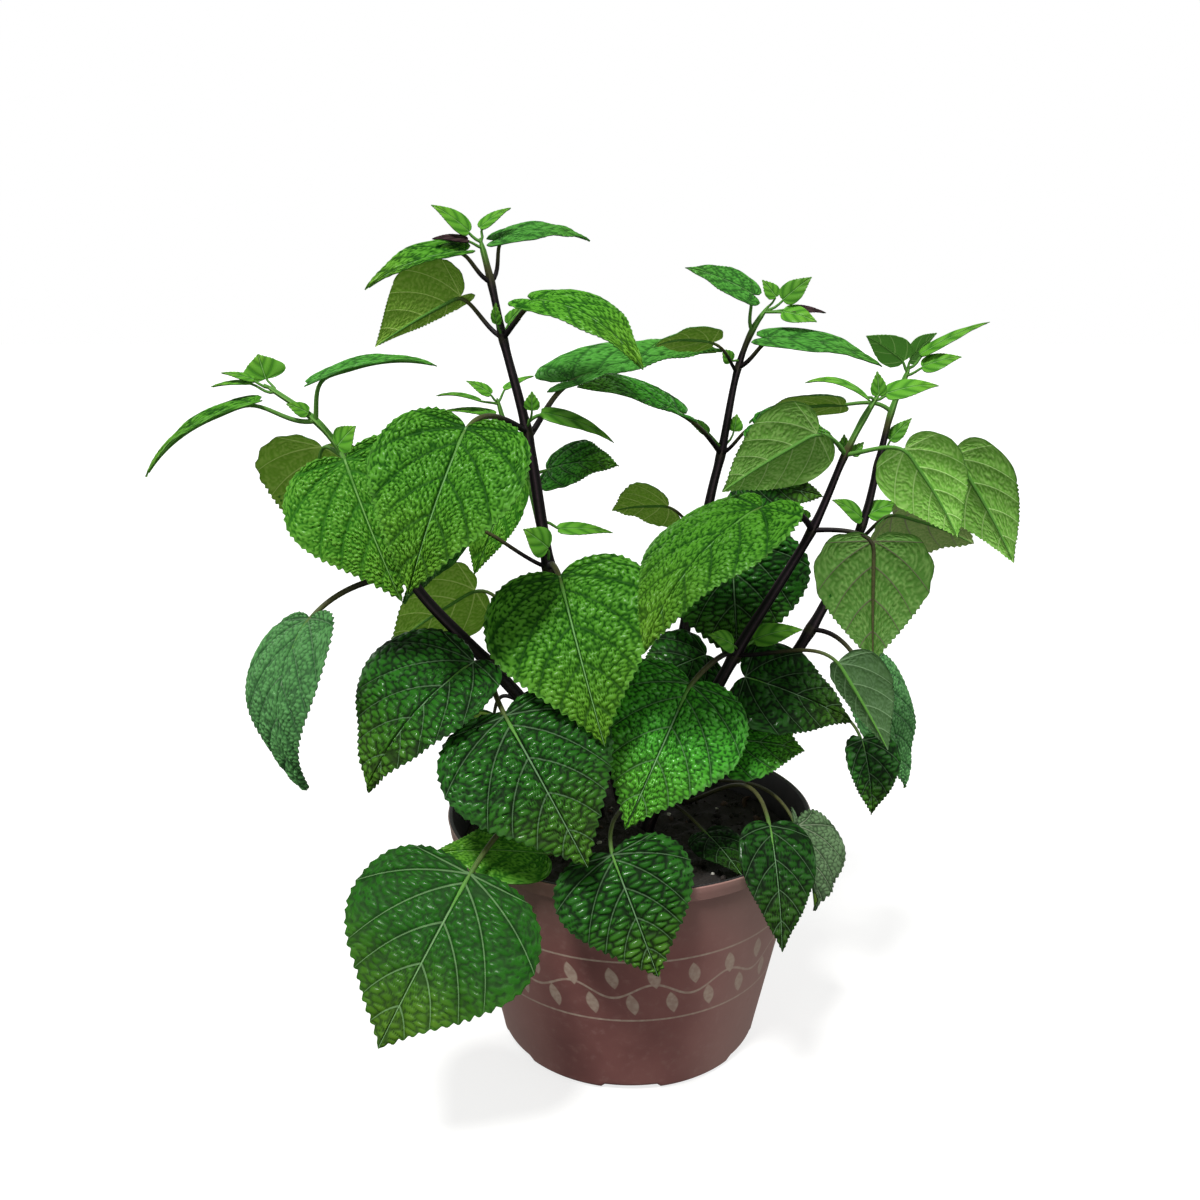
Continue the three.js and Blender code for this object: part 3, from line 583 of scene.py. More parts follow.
# The large leaves: stem and row of the joint, where the blade starts and ends, its width, the way
# its upper side faces, how far it arches along and folds across, its look above, and in some what
# else sets it apart
leafRows = [
    ("tall_front", "tall", 568, (560, 577, -28), (605, 747, -82), 86, (-5, 25), 30, 6, "bright",
     {"pitch": 2.2, "long": 2.3, "belly": 0.12}),
    ("tall_left_large", "tall", 432, (466, 428, -50), (409, 595, -88), 76, (-12, 22), 25, 10,
     "bright", {"pitch": 1.7, "long": 1.7}),
    ("tall_right_spread", "tall", 438, (572, 380, 38), (722, 352, 62), 58, (0, 74), 20, 8,
     "middle", {"lift": 0.8, "lobe": 0.26, "sides": (1.3, 0.45)}),
    ("tall_upper_left", "tall", 338, (461, 296, 12), (375, 347, 25), 36, (-170, 12), 40, 8,
     "middle", {"lobe": 0.2, "sides": (1.45, 0.3)}),
    ("tall_upper_right", "tall", 338, (534, 300, -12), (643, 370, -45), 38, (28, 52), 55, 4,
     "bright", {"lift": 0.4, "lobe": 0.22, "sides": (1.25, 0.75)}),
    ("tall_top_left", "tall", 282, (464, 251, -6), (365, 290, -22), 25, (-15, 55), 35, 6, "bright",
     {"under": "young", "lift": 0.5, "lobe": 0.16, "sides": (0.35, 1.35)}),
    ("tall_top_right", "tall", 282, (499, 239, 4), (590, 241, 8), 28, (0, 70), 45, 8, "middle",
     {"under": "young", "lift": 1, "lobe": 0.2}),
    ("tall_low_left", "tall", 568, (458, 529, -2), (404, 604, -12), 44, (-62, 18), 20, 5,
     "middle"),
    ("tall_back_left", "tall", 700, (475, 590, 25), (388, 650, 8), 54, (180, 30), 25, 6, "middle",
     {"lift": 0.4}),
    ("left_front", "left", 457, (345, 460, -38), (402, 602, -58), 74, (-12, 32), 25, 6, "fresh",
     {"pitch": 1.7, "long": 1.7, "belly": 0.1}),
    ("left_back", "left", 457, (322, 447, 2), (303, 538, 14), 60, (-165, 20), 30, 6, "middle",
     {"lift": 0.4}),
    ("left_outer", "left", 421, (253, 403, -22), (146, 477, -34), 26, (-60, 60), 48, 14, "bright",
     {"under": "young", "lift": 0.8}),
    ("left_inner", "left", 421, (319, 380, -24), (437, 366, -14), 26, (0, 82), 42, 14, "middle",
     {"under": "young", "lift": 0.8, "lobe": 0.18}),
    ("left_hanging", "left", 575, (309, 619, -42), (308, 789, -66), 70, (-48, 14), 80, 4, "grey",
     {"lobe": 0.08, "sides": (0.9, 1.12)}),
    ("left_low_dark", "left", 663, (474, 662, -48), (368, 793, -76), 66, (-28, 45), 55, 4, "dark",
     {"sides": (0.78, 1.62)}),
    ("left_low_front", "left", 674, (505, 716, -66), (588, 868, -113), 84, (0, 42), 15, 4, "dark"),
    ("low_left_large", "left", 790, (470, 874, -100), (378, 1049, -142), 94, (-8, 35), 12, 4,
     "broad", {"lift": -0.5, "broad": 0.33, "lobe": 0.08, "pitch": 2.6, "long": 2.6,
               "quilt": 0.6, "cushion": 0.7}),
    ("low_left_under", "left", 828, (544, 854, -72), (433, 854, -76), 40, (0, 70), 20, 4, "fresh"),
    ("low_front", "right", 800, (612, 855, -94), (658, 977, -118), 66, (4, 26), 20, 4, "dark",
     {"pitch": 3.0}),
    ("right_low_front", "right", 655, (690, 684, -30), (625, 830, -79), 75, (6, 38), 22, 4, "deep",
     {"lift": 1}),
    ("right_bright", "right", 530, (760, 508, -44), (646, 652, -82), 70, (-50, 50), 52, 2,
     "bright", {"lobe": 0.2, "droop": 0.4, "pitch": 1.8, "sides": (0.8, 1.45)}),
    ("middle_dark", "middle", 540, (731, 541, 22), (738, 664, 10), 82, (-5, 22), 20, 4, "dark",
     {"lift": 0.6}),
    ("middle_low", "middle", 672, (706, 655, 22), (634, 690, 7), 46, (0, 52), 26, 5, "dark"),
    ("middle_left", "middle", 454, (678, 412, 14), (577, 387, -20), 42, (0, 60), 20, 8, "deep",
     {"lobe": 0.28, "sides": (0.35, 1.1)}),
    ("middle_right", "middle", 454, (755, 424, 30), (833, 438, 16), 44, (0, 68), 25, 4, "deep"),
    ("middle_upper_left", "middle", 373, (712, 342, 28), (653, 347, 14), 32, (180, 64), 40, 6,
     "middle", {"lift": 1.2}),
    ("middle_upper_right", "middle", 368, (767, 338, 38), (882, 367, 22), 26, (0, 66), 35, 8,
     "middle", {"lift": 0.6, "lobe": 0.18}),
    ("middle_top_left", "middle", 331, (752, 294, 44), (685, 268, 42), 22, (0, 50), 24, 10,
     "middle", {"under": "young", "lift": 1, "lobe": 0.2}),
    ("middle_behind", "middle", 540, (738, 486, 34), (823, 497, 22), 42, (0, 48), 25, 4, "dark"),
    ("hidden_right", "hidden", 480, (548, 470, 56), (619, 466, 40), 42, (0, 56), 40, 6, "deep"),
    ("hidden_left", "hidden", 480, (512, 478, 44), (474, 575, 30), 42, (10, 10), 25, 6, "fresh",
     {"lift": 1.2, "lobe": 0.1, "sides": (0.6, 1.0)}),
    ("hidden_olive", "middle", 540, (668, 506, 60), (612, 511, 76), 44, (180, 42), 25, 5, "middle",
     {"lift": 0.7}),
    ("right_hanging", "right", 530, (874, 541, -26), (873, 664, -38), 58, (176, -5), 20, 4,
     "middle", {"under": "veined", "ribGreen": 0.45}),
    ("right_upper_left", "right", 455, (817, 433, -30), (722, 492, -27), 43, (180, 12), 25, 14,
     "middle", {"under": "pale", "lift": -0.9, "stalk": (0.9, 1.0)}),
    ("right_upper_right", "right", 455, (905, 449, -32), (958, 538, -42), 44, (145, 6), 35, 5,
     "middle", {"under": "pale", "lift": 0.5, "stalk": (0.9, 1.0)}),
    ("far_outer", "far", 465, (955, 455, -6), (1014, 563, -18), 42, (145, 2), 30, 5, "middle",
     {"under": "pale", "stalk": (0.7, 1.0)}),
    ("far_right", "far", 542, (893, 514, 22), (974, 544, 26), 58, (180, 32), 30, 5, "middle",
     {"under": "dusky", "lift": 1.6}),
    ("far_left", "far", 412, (841, 405, 58), (749, 423, 70), 40, (180, 68), 35, 5, "middle",
     {"lift": 0.6}),
    ("right_folded", "right", 655, (838, 662, -42), (888, 750, -58), 40, (165, 8), 25, 26, "grey",
     {"under": "soft", "lift": -1.2, "lobe": 0.04, "sides": (0.5, 1.0)}),
    ("far_drooping", "far", 630, (864, 670, 18), (904, 788, 8), 62, (50, 18), 30, 8, "grey",
     {"lift": 1.5}),
    ("far_low_hanging", "far", 700, (862, 740, -16), (871, 815, -28), 44, (25, 12), 25, 8, "dark",
     {"sides": (1.0, 0.6)}),
    ("right_low_spread", "right", 742, (745, 677, -14), (852, 722, -22), 58, (6, 54), 22, 4,
     "dark", {"lift": -1}),
    ("right_low_under", "right", 748, (724, 740, -16), (805, 751, -20), 48, (5, 54), 25, 4, "deep",
     {"lift": 0.6}),
    ("pot_right", "far", 802, (770, 826, -78), (782, 952, -112), 40, (14, 26), 22, 8, "dark",
     {"lift": -2.1, "stalk": (0.3, 0.5), "lobe": 0.08, "sides": (1.0, 0.88)}),
    ("pot_far_right", "far", 780, (797, 826, -42), (815, 911, -64), 66, (62, 10), 25, 24, "dry",
     {"stalk": (0.3, 0.5), "lobe": 0.24, "cushion": 0.35}),
    ("back_low_left", "left", 706, (494, 714, 30), (486, 746, 66), 50, (180, 44), 30, 5, "deep"),
    ("back_low", "hidden", 700, (590, 708, 84), (592, 742, 128), 54, (180, 50), 30, 5, "deep"),
    ("back_low_right", "far", 715, (770, 706, 74), (786, 742, 116), 52, (170, 46), 30, 5, "deep"),
    ("back_middle", "hidden", 600, (578, 604, 88), (574, 646, 126), 52, (180, 50), 30, 5,
     "middle"),
    ("pot_inner", "right", 800, (706, 833, -28), (742, 876, -62), 26, (10, 45), 20, 6, "dark",
     {"lift": -2}),
]

# The small leaves at the stems' tips and above the joints, one piece with their stem
smallRows = [
    ("tall", 242, (469, 232, 0), (431, 205, -4), 14, (20, 50), 20, 10),
    ("tall", 242, (480, 228, 1), (511, 208, 4), 10, (-20, 55), 20, 10),
    ("tall", 248, (468, 240, -3), (432, 239, -8), 10, (0, 66), 20, 8, "purple"),
    ("tall", 335, (497, 324, -3), (496, 303, -6), 7, (-30, 30), 15, 8),
    ("tall", 335, (508, 324, 2), (525, 305, 4), 8, (20, 50), 15, 8),
    ("tall", 424, (541, 413, 2), (614, 443, 6), 14, (10, 62), 36, 8),
    ("tall", 428, (532, 410, -5), (532, 391, -6), 8, (0, 30), 15, 8),
    ("tall", 562, (548, 548, 0), (523, 529, -6), 17, (0, 38), 20, 6),
    ("tall", 524, (558, 529, 12), (613, 533, 16), 11, (0, 62), 20, 8),
    ("hidden", 404, (481, 401, 58), (436, 396, 54), 7, (0, 76), 40, 8),
    ("hidden", 402, (491, 394, 60), (466, 381, 60), 8, (0, 50), 20, 8),
    ("hidden", 402, (504, 389, 64), (534, 376, 68), 7, (0, 70), 25, 8),
    ("hidden", 425, (496, 414, 60), (444, 411, 58), 9, (0, 70), 20, 8),
    ("left", 392, (266, 379, -12), (258, 354, -10), 22, (0, 22), 15, 6),
    ("left", 392, (252, 383, -16), (211, 387, -20), 6, (0, 72), 25, 8),
    ("left", 388, (254, 380, -17), (221, 373, -20), 6, (0, 60), 20, 8),
    ("left", 416, (308, 413, -20), (286, 404, -22), 9, (0, 50), 20, 8),
    ("left", 450, (338, 446, -24), (356, 426, -26), 15, (0, 40), 20, 6),
    ("left", 452, (350, 456, -16), (372, 449, -14), 8, (0, 60), 20, 6),
    ("middle", 310, (783, 300, 47), (812, 277, 46), 13, (10, 40), 15, 10),
    ("middle", 310, (776, 297, 48), (762, 280, 50), 9, (-10, 40), 15, 10),
    ("middle", 312, (786, 309, 46), (826, 313, 42), 8, (0, 60), 20, 8, "purple"),
    ("middle", 312, (783, 312, 44), (817, 322, 36), 13, (0, 42), 20, 8),
    ("middle", 362, (731, 361, 46), (722, 349, 44), 8, (0, 30), 15, 8),
    ("middle", 448, (709, 433, 44), (686, 419, 40), 9, (0, 50), 20, 8),
    ("middle", 446, (734, 431, 48), (737, 414, 50), 9, (0, 30), 15, 8),
    ("right", 398, (879, 396, -18), (877, 371, -16), 8, (0, 20), 15, 10),
    ("right", 400, (868, 399, -20), (805, 383, -24), 12, (0, 72), 60, 8),
    ("right", 400, (886, 394, -18), (939, 386, -20), 14, (0, 56), 30, 8),
    ("right", 450, (844, 452, -11), (844, 434, -8), 6, (0, 20), 15, 8),
    ("right", 450, (852, 455, -16), (864, 442, -14), 6, (0, 40), 15, 8),
    ("right", 524, (806, 520, -10), (797, 508, -6), 8, (0, 40), 15, 8),
    ("right", 648, (754, 640, -6), (803, 630, -2), 14, (0, 55), 40, 8),
    ("right", 650, (733, 645, -14), (708, 635, -20), 13, (0, 48), 25, 8),
    ("far", 372, (904, 361, 52), (866, 336, 50), 22, (180, 50), 25, 10),
    ("far", 372, (910, 359, 54), (937, 333, 58), 18, (180, 50), 20, 10),
    ("far", 368, (920, 355, 52), (990, 322, 50), 9, (0, 62), 20, 8),
    ("far", 376, (922, 367, 50), (962, 357, 46), 13, (0, 50), 20, 8),
    ("far", 460, (890, 440, 56), (912, 418, 58), 9, (0, 45), 15, 8),
    ("far", 521, (861, 518, 48), (832, 500, 44), 15, (0, 55), 25, 8),
    ("far", 518, (868, 515, 52), (899, 503, 54), 15, (0, 55), 25, 8),
]

leafShape = {
    "lobe": 0.12,  # how far it reaches back beside the stalk, in parts of its length
    "broad": 0.27,  # where it is broadest, in the same parts
    "belly": 0.17,  # how full the margin stays on its way to the tip
    "sides": (1, 1),  # the widths of the two halves against the width given
    "droop": 0.22,  # how far it bends down towards its margin
    "thickness": 0.45,  # mm
    "sideVein": (0.18, 0.3),  # half its width at the margin, in mm, and what it gains by the rib
    "midVein": (0.14, 0.42),  # the middle rib's at the tip, and what it gains by the stalk
    "slope": 1.3,  # how far forward a side vein runs for its way outward
    "bow": 0.3,  # how much side veins curve towards the tip
    "quilt": 0.9,  # mm that the blade swells between side veins
    "cushion": 1.25,  # mm that it swells between the finer veins
    "long": 2.1,  # a cushion's length across the side veins against its width along them
    "tooth": 1.25,  # mm from notch to point
    "ribGreen": 1.0,  # 1 for a green middle rib, less for a purple one
    "lift": 0.0,  # how much lighter the blade is than others of its look
    "wave": 0.014,  # of the width, up and down along the margin
    "stalk": (0.0, 0.6),  # how green the stalk is at the stem and at the blade
    "under": "olive",  # its look below
    "lean": 1.6,  # above 1 teeth lean towards the tip
    "uneven": 0.25,  # how far cushions stand from even rows, in parts of a cushion
    "shoulder": 0.65,  # how far in from its border a cushion rises, in the same parts
}
leafByWidth = {  # the width divided by the first number, and kept between the others
    "pitch": (36, 1.5, 2.2),  # mm from one cushion to the next
    "scale": (75, 0.25, 1.0),  # of all the relief
    "toothPitch": (19, 1.8, 5),  # mm from one tooth to the next
    "toothSize": (60, 0.3, 1.2),
}
leafKeys = ("stem", "joint", "base", "tip", "width", "face", "arch", "fold")
darkWidth = 35  # dark leaves wider than this have larger cushions
darkCushions = {"pitch": 2.7, "long": 2.7, "cushion": 1.5}
leafGrids = [  # by least width: side veins, columns from one to the next, rows
    (60, 7, 16, 64),
    (35, 6, 10, 36),
    (0, 5, 8, 20),
]
smallShape = {
    "veins": 4, "columns": 6, "rows": 9, "lobe": 0.04, "scale": 0.2, "tooth": 0.35, "pitch": 2.0,
    "stalk": (0.75, 0.9), "stalkSlot": 0, "wave": 0,
}
stalkShape = {
    "root": 0.08,  # the share of the middle rib at which the stalk reaches it
    "end": 0.96,  # and at which the rib ends below the blade
    "sunk": 0.35,  # mm below the blade's middle
    "rise": 0.6,  # how far it leaves along its stem, against away from it
    "turns": (0.4, 0.33),  # how late it turns from the stem and to the blade, of its reach
    "radius": (0.6, 1.4),  # least and greatest, in mm
    "step": 2.4,  # mm between rings
    "sides": (8, 12),  # of small and of large leaves
}


# The line of a leaf's middle rib: an arc in the plane of its chord and its face
class MiddleRib:
    def __init__(self, leaf, steps=240):
        self.base = seenAt(leaf["base"])
        chord = seenAt(leaf["tip"]) - self.base
        self.along = unit(chord)
        normal = facing(leaf["face"])
        self.normal = unit(normal - self.along * (normal @ self.along))
        self.across = np.cross(self.normal, self.along)
        self.bend = math.radians(leaf["arch"])
        angle = self.angleAt((np.arange(steps) + 0.5) / steps)
        self.x = np.concatenate([[0], np.cumsum(np.cos(angle)) / steps])
        self.z = np.concatenate([[0], np.cumsum(np.sin(angle)) / steps])
        self.turn = math.atan2(self.z[-1], self.x[-1])
        self.length = np.linalg.norm(chord) / math.hypot(self.x[-1], self.z[-1])

    def angleAt(self, share):
        return self.bend * (0.5 - np.maximum(share, 0) ** 1.25)

    def at(self, share):
        # centre, forward and outward directions at shares of the length
        share = np.asarray(share, float)
        where = np.linspace(0, 1, len(self.x))
        x, z = np.interp(share, where, self.x), np.interp(share, where, self.z)
        cos, sin = math.cos(self.turn), math.sin(self.turn)
        ahead = (x * cos + z * sin)[..., None] * self.along
        aside = (z * cos - x * sin)[..., None] * self.normal
        angle = (self.angleAt(share) - self.turn)[..., None]
        forward = self.along * np.cos(angle) + self.normal * np.sin(angle)
        out = self.normal * np.cos(angle) - self.along * np.sin(angle)
        before = np.minimum(share, 0)[..., None] * forward
        return self.base + self.length * (ahead + aside + before), forward, out


def halfOutline(leaf, rib, side, count):
    # from the notch where the stalk joins, round the lobe, to the drawn-out tip: places on the
    # margin in mm, the outward direction at each, how far up the middle rib its side vein starts,
    # and its share of the way round; places stand even along the margin and the rib together
    lobe, broad = leaf["lobe"], leaf["broad"]
    share = np.linspace(0, 1, 201)
    before = bezier([(0, 0), (0.07, -lobe), (0.5, -1.1 * lobe), (0.5, broad)], share)
    after = bezier([(0.5, broad), (0.5, broad + 0.25), (leaf["belly"], 0.77), (0, 1)], share)
    wide = leaf["width"] * leaf["sides"][0 if side > 0 else 1]
    flat = np.concatenate([before, after[1:]]) * [wide, rib.length]
    runs = np.concatenate([[0], np.cumsum(np.linalg.norm(np.diff(flat, axis=0), axis=1))])
    v = flat[:, 1] - leaf["slope"] * flat[:, 0]
    soft = 0.05 * rib.length
    foot = 0.5 * (v + np.sqrt(v * v + soft * soft)) * ease(runs / runs[-1], 0, 0.3)
    foot = np.minimum(foot, rib.length)
    measure = runs + np.concatenate([[0], np.cumsum(np.abs(np.diff(foot)))])
    places = np.linspace(0, measure[-1], count)
    x, y, foot, runs = (np.interp(places, measure, f) for f in (*flat.T, foot, runs))
    flat = np.stack([x, y], 1)
    tangent = unit(np.gradient(flat, axis=0))
    return flat, np.stack([tangent[:, 1], -tangent[:, 0]], 1), foot, runs


def bladeGrid(leaf, rib, side, rows, crowd):
    # the flat blade on one side of the middle rib, in mm: columns follow the side veins from the
    # rib to the margin, so that relief and colour follow them too
    columns = leaf["veins"] * leaf["columns"] + 1
    outline, outward, foot, runs = halfOutline(leaf, rib, side, columns)
    u = runs / runs[-1]
    t = np.linspace(0, 1, rows)[:, None] ** crowd
    random = np.random.default_rng(leaf["seed"] + (side > 0))
    x, y = outline.T
    bow = leaf["bow"] * t * (1 - t)
    flatX = x * (t + bow)
    flatY = foot + (y - foot) * (t - bow)
    # rounded teeth that lean towards the tip
    teeth = int(runs[-1] / leaf["toothPitch"])
    phase = (u * teeth) % 1
    size = 0.75 + 0.5 * random.random(teeth + 1)[np.minimum((u * teeth).astype(int), teeth)]
    depth = leaf["tooth"] * ease(u, 0.02, 0.12) * (1 - ease(u, 0.95, 1.0))
    reach = depth * size * (np.sin(np.pi * phase ** leaf["lean"]) - 0.45)
    flatX = np.maximum(flatX + outward[:, 0] * reach * t ** 7, 0)
    flatY = flatY + outward[:, 1] * reach * t ** 7
    vein = np.broadcast_to(np.linspace(0, leaf["veins"], columns), flatX.shape)
    wide = np.hypot(np.gradient(flatX, axis=1), np.gradient(flatY, axis=1)) * leaf["columns"]
    across = unit(np.stack([np.gradient(f, axis=0) for f in (flatX, flatY)], -1))
    slant = np.abs(
        np.gradient(flatX, axis=1) * across[..., 1] - np.gradient(flatY, axis=1) * across[..., 0]
    )
    wide = np.minimum(wide, slant * leaf["columns"])
    near = np.abs(vein - np.round(vein)) * wide
    size = leaf["width"] / 80
    (thin, more), (midThin, midMore) = leaf["sideVein"], leaf["midVein"]
    values = {
        "rib": near / (thin + more * (1 - t) * size),
        "midrib": flatX / (midThin + midMore * size * (1 - np.clip(flatY / rib.length, 0, 1))),
        "edge": np.broadcast_to(t, flatX.shape),
        "along": flatY / rib.length,
    }
    return flatX, flatY, values, vein, wide, t


def cushionsOf(leaf, side, flatX, flatY):
    # the cells between the finer veins: seeds stand in uneven rows across the blade, each point
    # belongs to the nearest, and cells meet where two are as near
    random = np.random.default_rng(leaf["seed"] + 3 + (side > 0))
    height = leaf["pitch"]
    width = height * leaf["long"]
    low, high = flatY.min() - height, flatY.max() + height
    rows, columns = int((high - low) / height) + 1, int(flatX.max() / width) + 3
    row, column = np.mgrid[:rows, :columns]
    shift = random.normal(size=(2, rows, columns)) * leaf["uneven"]
    away = 0.5 * (row % 2) - 0.5 + column + shift[0]
    seeds = np.stack([away * width, low + (row + shift[1]) * height], -1).reshape(-1, 2)
    grid = np.stack([flatX.ravel(), flatY.ravel()], 1) / (width, height)
    seeds = (seeds / (width, height)).astype(np.float32)
    distance = np.hypot(*(grid.astype(np.float32)[:, None] - seeds[None]).transpose(2, 0, 1))
    order = np.argpartition(distance, 1, axis=1)[:, :2]
    first, second = np.take_along_axis(distance, order, 1).T
    border = np.abs(second - first)
    shade = random.random(len(seeds))[order[np.arange(len(order)), (second < first).astype(int)]]
    inward = np.clip(border / leaf["shoulder"], 0, 1)
    dome = (1 - (1 - inward) ** 2) * (0.6 + 0.55 * shade)
    shape = flatX.shape
    return dome.reshape(shape), border.reshape(shape), shade.reshape(shape)


def addBlade(leaf, rib, skin, upper, under):
    tilt = math.radians(leaf["fold"])
    seenFromBelow = rib.normal @ unit(np.array(view["eye"]) - rib.base) < 0
    edges = {}
    for side in (1, -1):
        for level, finish in ((1, upper), (-1, under)):
            fine = (level < 0) == seenFromBelow
            rows = leaf["rows"] if fine else leaf["rows"] // 12 + 5
            crowd = 1.1 if fine else 2  # above 1 rows crowd towards the middle rib
            flatX, flatY, values, vein, wide, t = bladeGrid(leaf, rib, side, rows, crowd)
            between = np.abs(np.sin(np.pi * vein))
            apart = np.abs(vein - np.round(vein)) * wide
            beside = ease(values["midrib"], 0.6, 3.2)
            inside = 1 - values["edge"] ** 10
            beyond = 1 - np.exp(-np.hypot(flatX, flatY) / (0.08 * leaf["width"]))
            quilt = between ** 0.7 * np.minimum(1, wide / 9)
            dome, border, shade = np.full_like(flatX, 0.6), np.ones_like(flatX), 0.5
            if leaf["small"]:
                dome = 0.3 + 0.5 * between
            elif not fine:
                dome = dome + 0.6 * level  # clear of the other side's cushions
            if fine and not leaf["small"]:
                dome, border, shade = cushionsOf(leaf, side, flatX, flatY)
                dome = dome * (0.3 + 0.7 * ease(apart, 0.1, 1.3))
            swell = leaf["quilt"] * quilt + leaf["cushion"] * dome
            swell = leaf["scale"] * swell * beside * inside * beyond
            u = np.linspace(0, 1, flatX.shape[1])
            wave = np.sin(2 * np.pi * (leaf["waves"] * u + leaf["phase"] * side))
            wave = wave * leaf["wave"] * leaf["width"] * t ** 2 * ease(u, 0.05, 0.3)
            rise = flatX * math.sin(tilt) - leaf["droop"] * flatX ** 2 / leaf["width"]
            rise = rise + wave + swell + level * leaf["thickness"] / 2
            centre, _, out = rib.at(flatY / rib.length)
            points = (
                centre
                + rib.across * (side * flatX * math.cos(tilt))[..., None]
                + out * rise[..., None]
            )
            columns = points.shape[1]
            skin.add(
                points, gridTriangles(rows, columns, side * level > 0), finish,
                relief=np.clip(dome * (0.8 + 0.2 * quilt) * beside, 0, 1) if fine else -1.0,
                net=(1 - ease(border, 0.04, 0.34)) * ease(between, 0.0, 0.4),
                tint=leaf["tint"] + 0.35 * (shade - 0.5),
                **values,
            )
            edges[side, level] = points[-1]
        wall = np.stack([edges[side, -1], edges[side, 1]])
        skin.add(
            wall, gridTriangles(2, wall.shape[1], side > 0), upper,
            edge=1.0, midrib=9.0, rib=9.0, relief=0.5, tint=leaf["tint"], along=0.5,
        )


def addStalk(leaf, rib, stem, skin):
    # from inside the stem to the blade, and on under the blade as its middle rib
    share = stem.shareAt(leaf["joint"])
    start, rise = stem.path.at(share), stem.path.tangent(share)
    root, sunk = stalkShape["root"], stalkShape["sunk"]
    centre, forward, out = rib.at(root)
    end = centre - sunk * out
    leave = unit(end - start - rise * ((end - start) @ rise))
    leave = unit(leave + stalkShape["rise"] * rise)
    reach = np.linalg.norm(end - start)
    early, late = stalkShape["turns"]
    control = [start, start + leave * reach * early, end - forward * reach * late, end]
    free = bezier(control, np.linspace(0, 1, 25))
    wanted = np.clip(0.45 + rib.length / 95, *stalkShape["radius"])
    thick = min(wanted, stem.radiusAt(share) / 2)
    s = np.linspace(root, stalkShape["end"], 40)[1:]
    centre, _, out = rib.at(s)
    thin = thick * (1 - (s - root) / (1 - root)) ** 0.8 * 0.85 + 0.2
    sink = sunk + (thin - sunk + 0.05) * ease(s, root, 0.3)
    held = centre - out * sink[:, None]
    path = Path(np.concatenate([free, held]))
    joined = path.shares[len(free) - 1]
    count = int(np.clip(round(path.length / stalkShape["step"]), 8, 60))
    shares = np.linspace(0, 1, count)
    along = np.interp(shares, [0, joined, 1], [0, 1, 2])
    loose = thick * (1.25 - 0.35 * np.minimum(along, 1))
    bound = np.interp(shares, path.shares[len(free):], thin)
    radius = np.where(along <= 1, loose, np.minimum(bound, loose))
    sides = stalkShape["sides"][0 if leaf["small"] else 1]
    rings = path.tube(shares, sides, radius)
    first, last = leaf["stalk"]
    green = np.interp(along, [0, 0.9, 1, 1.15], [first, last, max(last, 0.8), 1])
    green = green - (1 - leaf["ribGreen"]) * np.minimum(along, 1) * green
    if stem.greenAt(share) > 0.6:
        green = np.maximum(green, 0.75)
    green = np.broadcast_to(green[:, None], (count, sides))
    # stalks carry a faint, even painted highlight
    skin.add(rings, ringTriangles(count, sides), leaf["stalkSlot"], green=green, ridge=0.15)


def leafOf(row, number, small, extras):
    leaf = dict(leafShape, seed=40 + 7 * number, small=small, **dict(zip(leafKeys, row)))
    width = leaf["width"]
    for key, (part, least, most) in leafByWidth.items():
        leaf[key] = float(np.clip(width / part, least, most))
    leaf.update(extras)
    random = np.random.default_rng(leaf["seed"])
    leaf["tint"], leaf["phase"] = random.random(2)
    leaf["tint"] += leaf["lift"]
    leaf["waves"] = 1.5 + 1.5 * random.random()
    leaf["tooth"] *= leaf["toothSize"]
    leaf["stalkSlot"] = 2
    grid = next(rest for over, *rest in leafGrids if width > over)
    leaf.update(zip(("veins", "columns", "rows"), grid))
    return dict(leaf, **smallShape) if small else leaf


grownStems = {name: Stem(*row) for name, row in stems.items()}
for stem in grownStems.values():
    stem.grow()
print("stems grown")

for number, row in enumerate(smallRows):
    leaf = leafOf(row, number, True, {})
    stem = grownStems[leaf["stem"]]
    rib = MiddleRib(leaf)
    purple = len(row) > 8
    addBlade(leaf, rib, stem.skin, 3 if purple else 1, 4 if purple else 2)
    addStalk(leaf, rib, stem, stem.skin)
for name, stem in grownStems.items():
    finishes = [
        stalkSkin, upperFinishes["fresh"], underFinishes["young"],
        upperFinishes["purple"], underFinishes["purple"],
    ]
    piece = stem.skin.piece(f"grown_stem_{name}", finishes)
    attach(piece, "root")
    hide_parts(f"stem_{name}")
print("small leaves grown on", len(grownStems), "stems")

for number, (name, *row) in enumerate(leafRows):
    look, extras = row[8], dict(*row[9:])
    if look == "dark" and row[4] > darkWidth:
        extras = dict(darkCushions, **extras)
    leaf = leafOf(row, 100 + number, False, extras)
    skin = Skin(*stemValues)
    rib = MiddleRib(leaf)
    addBlade(leaf, rib, skin, 0, 1)
    addStalk(leaf, rib, grownStems[leaf["stem"]], skin)
    finishes = [upperFinishes[look], underFinishes[leaf["under"]], stalkSkin]
    piece = skin.piece(f"grown_leaf_{name}", finishes)
    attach(piece, "root")
    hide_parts(f"leaf_{name}")
print("large leaves grown:", len(leafRows))


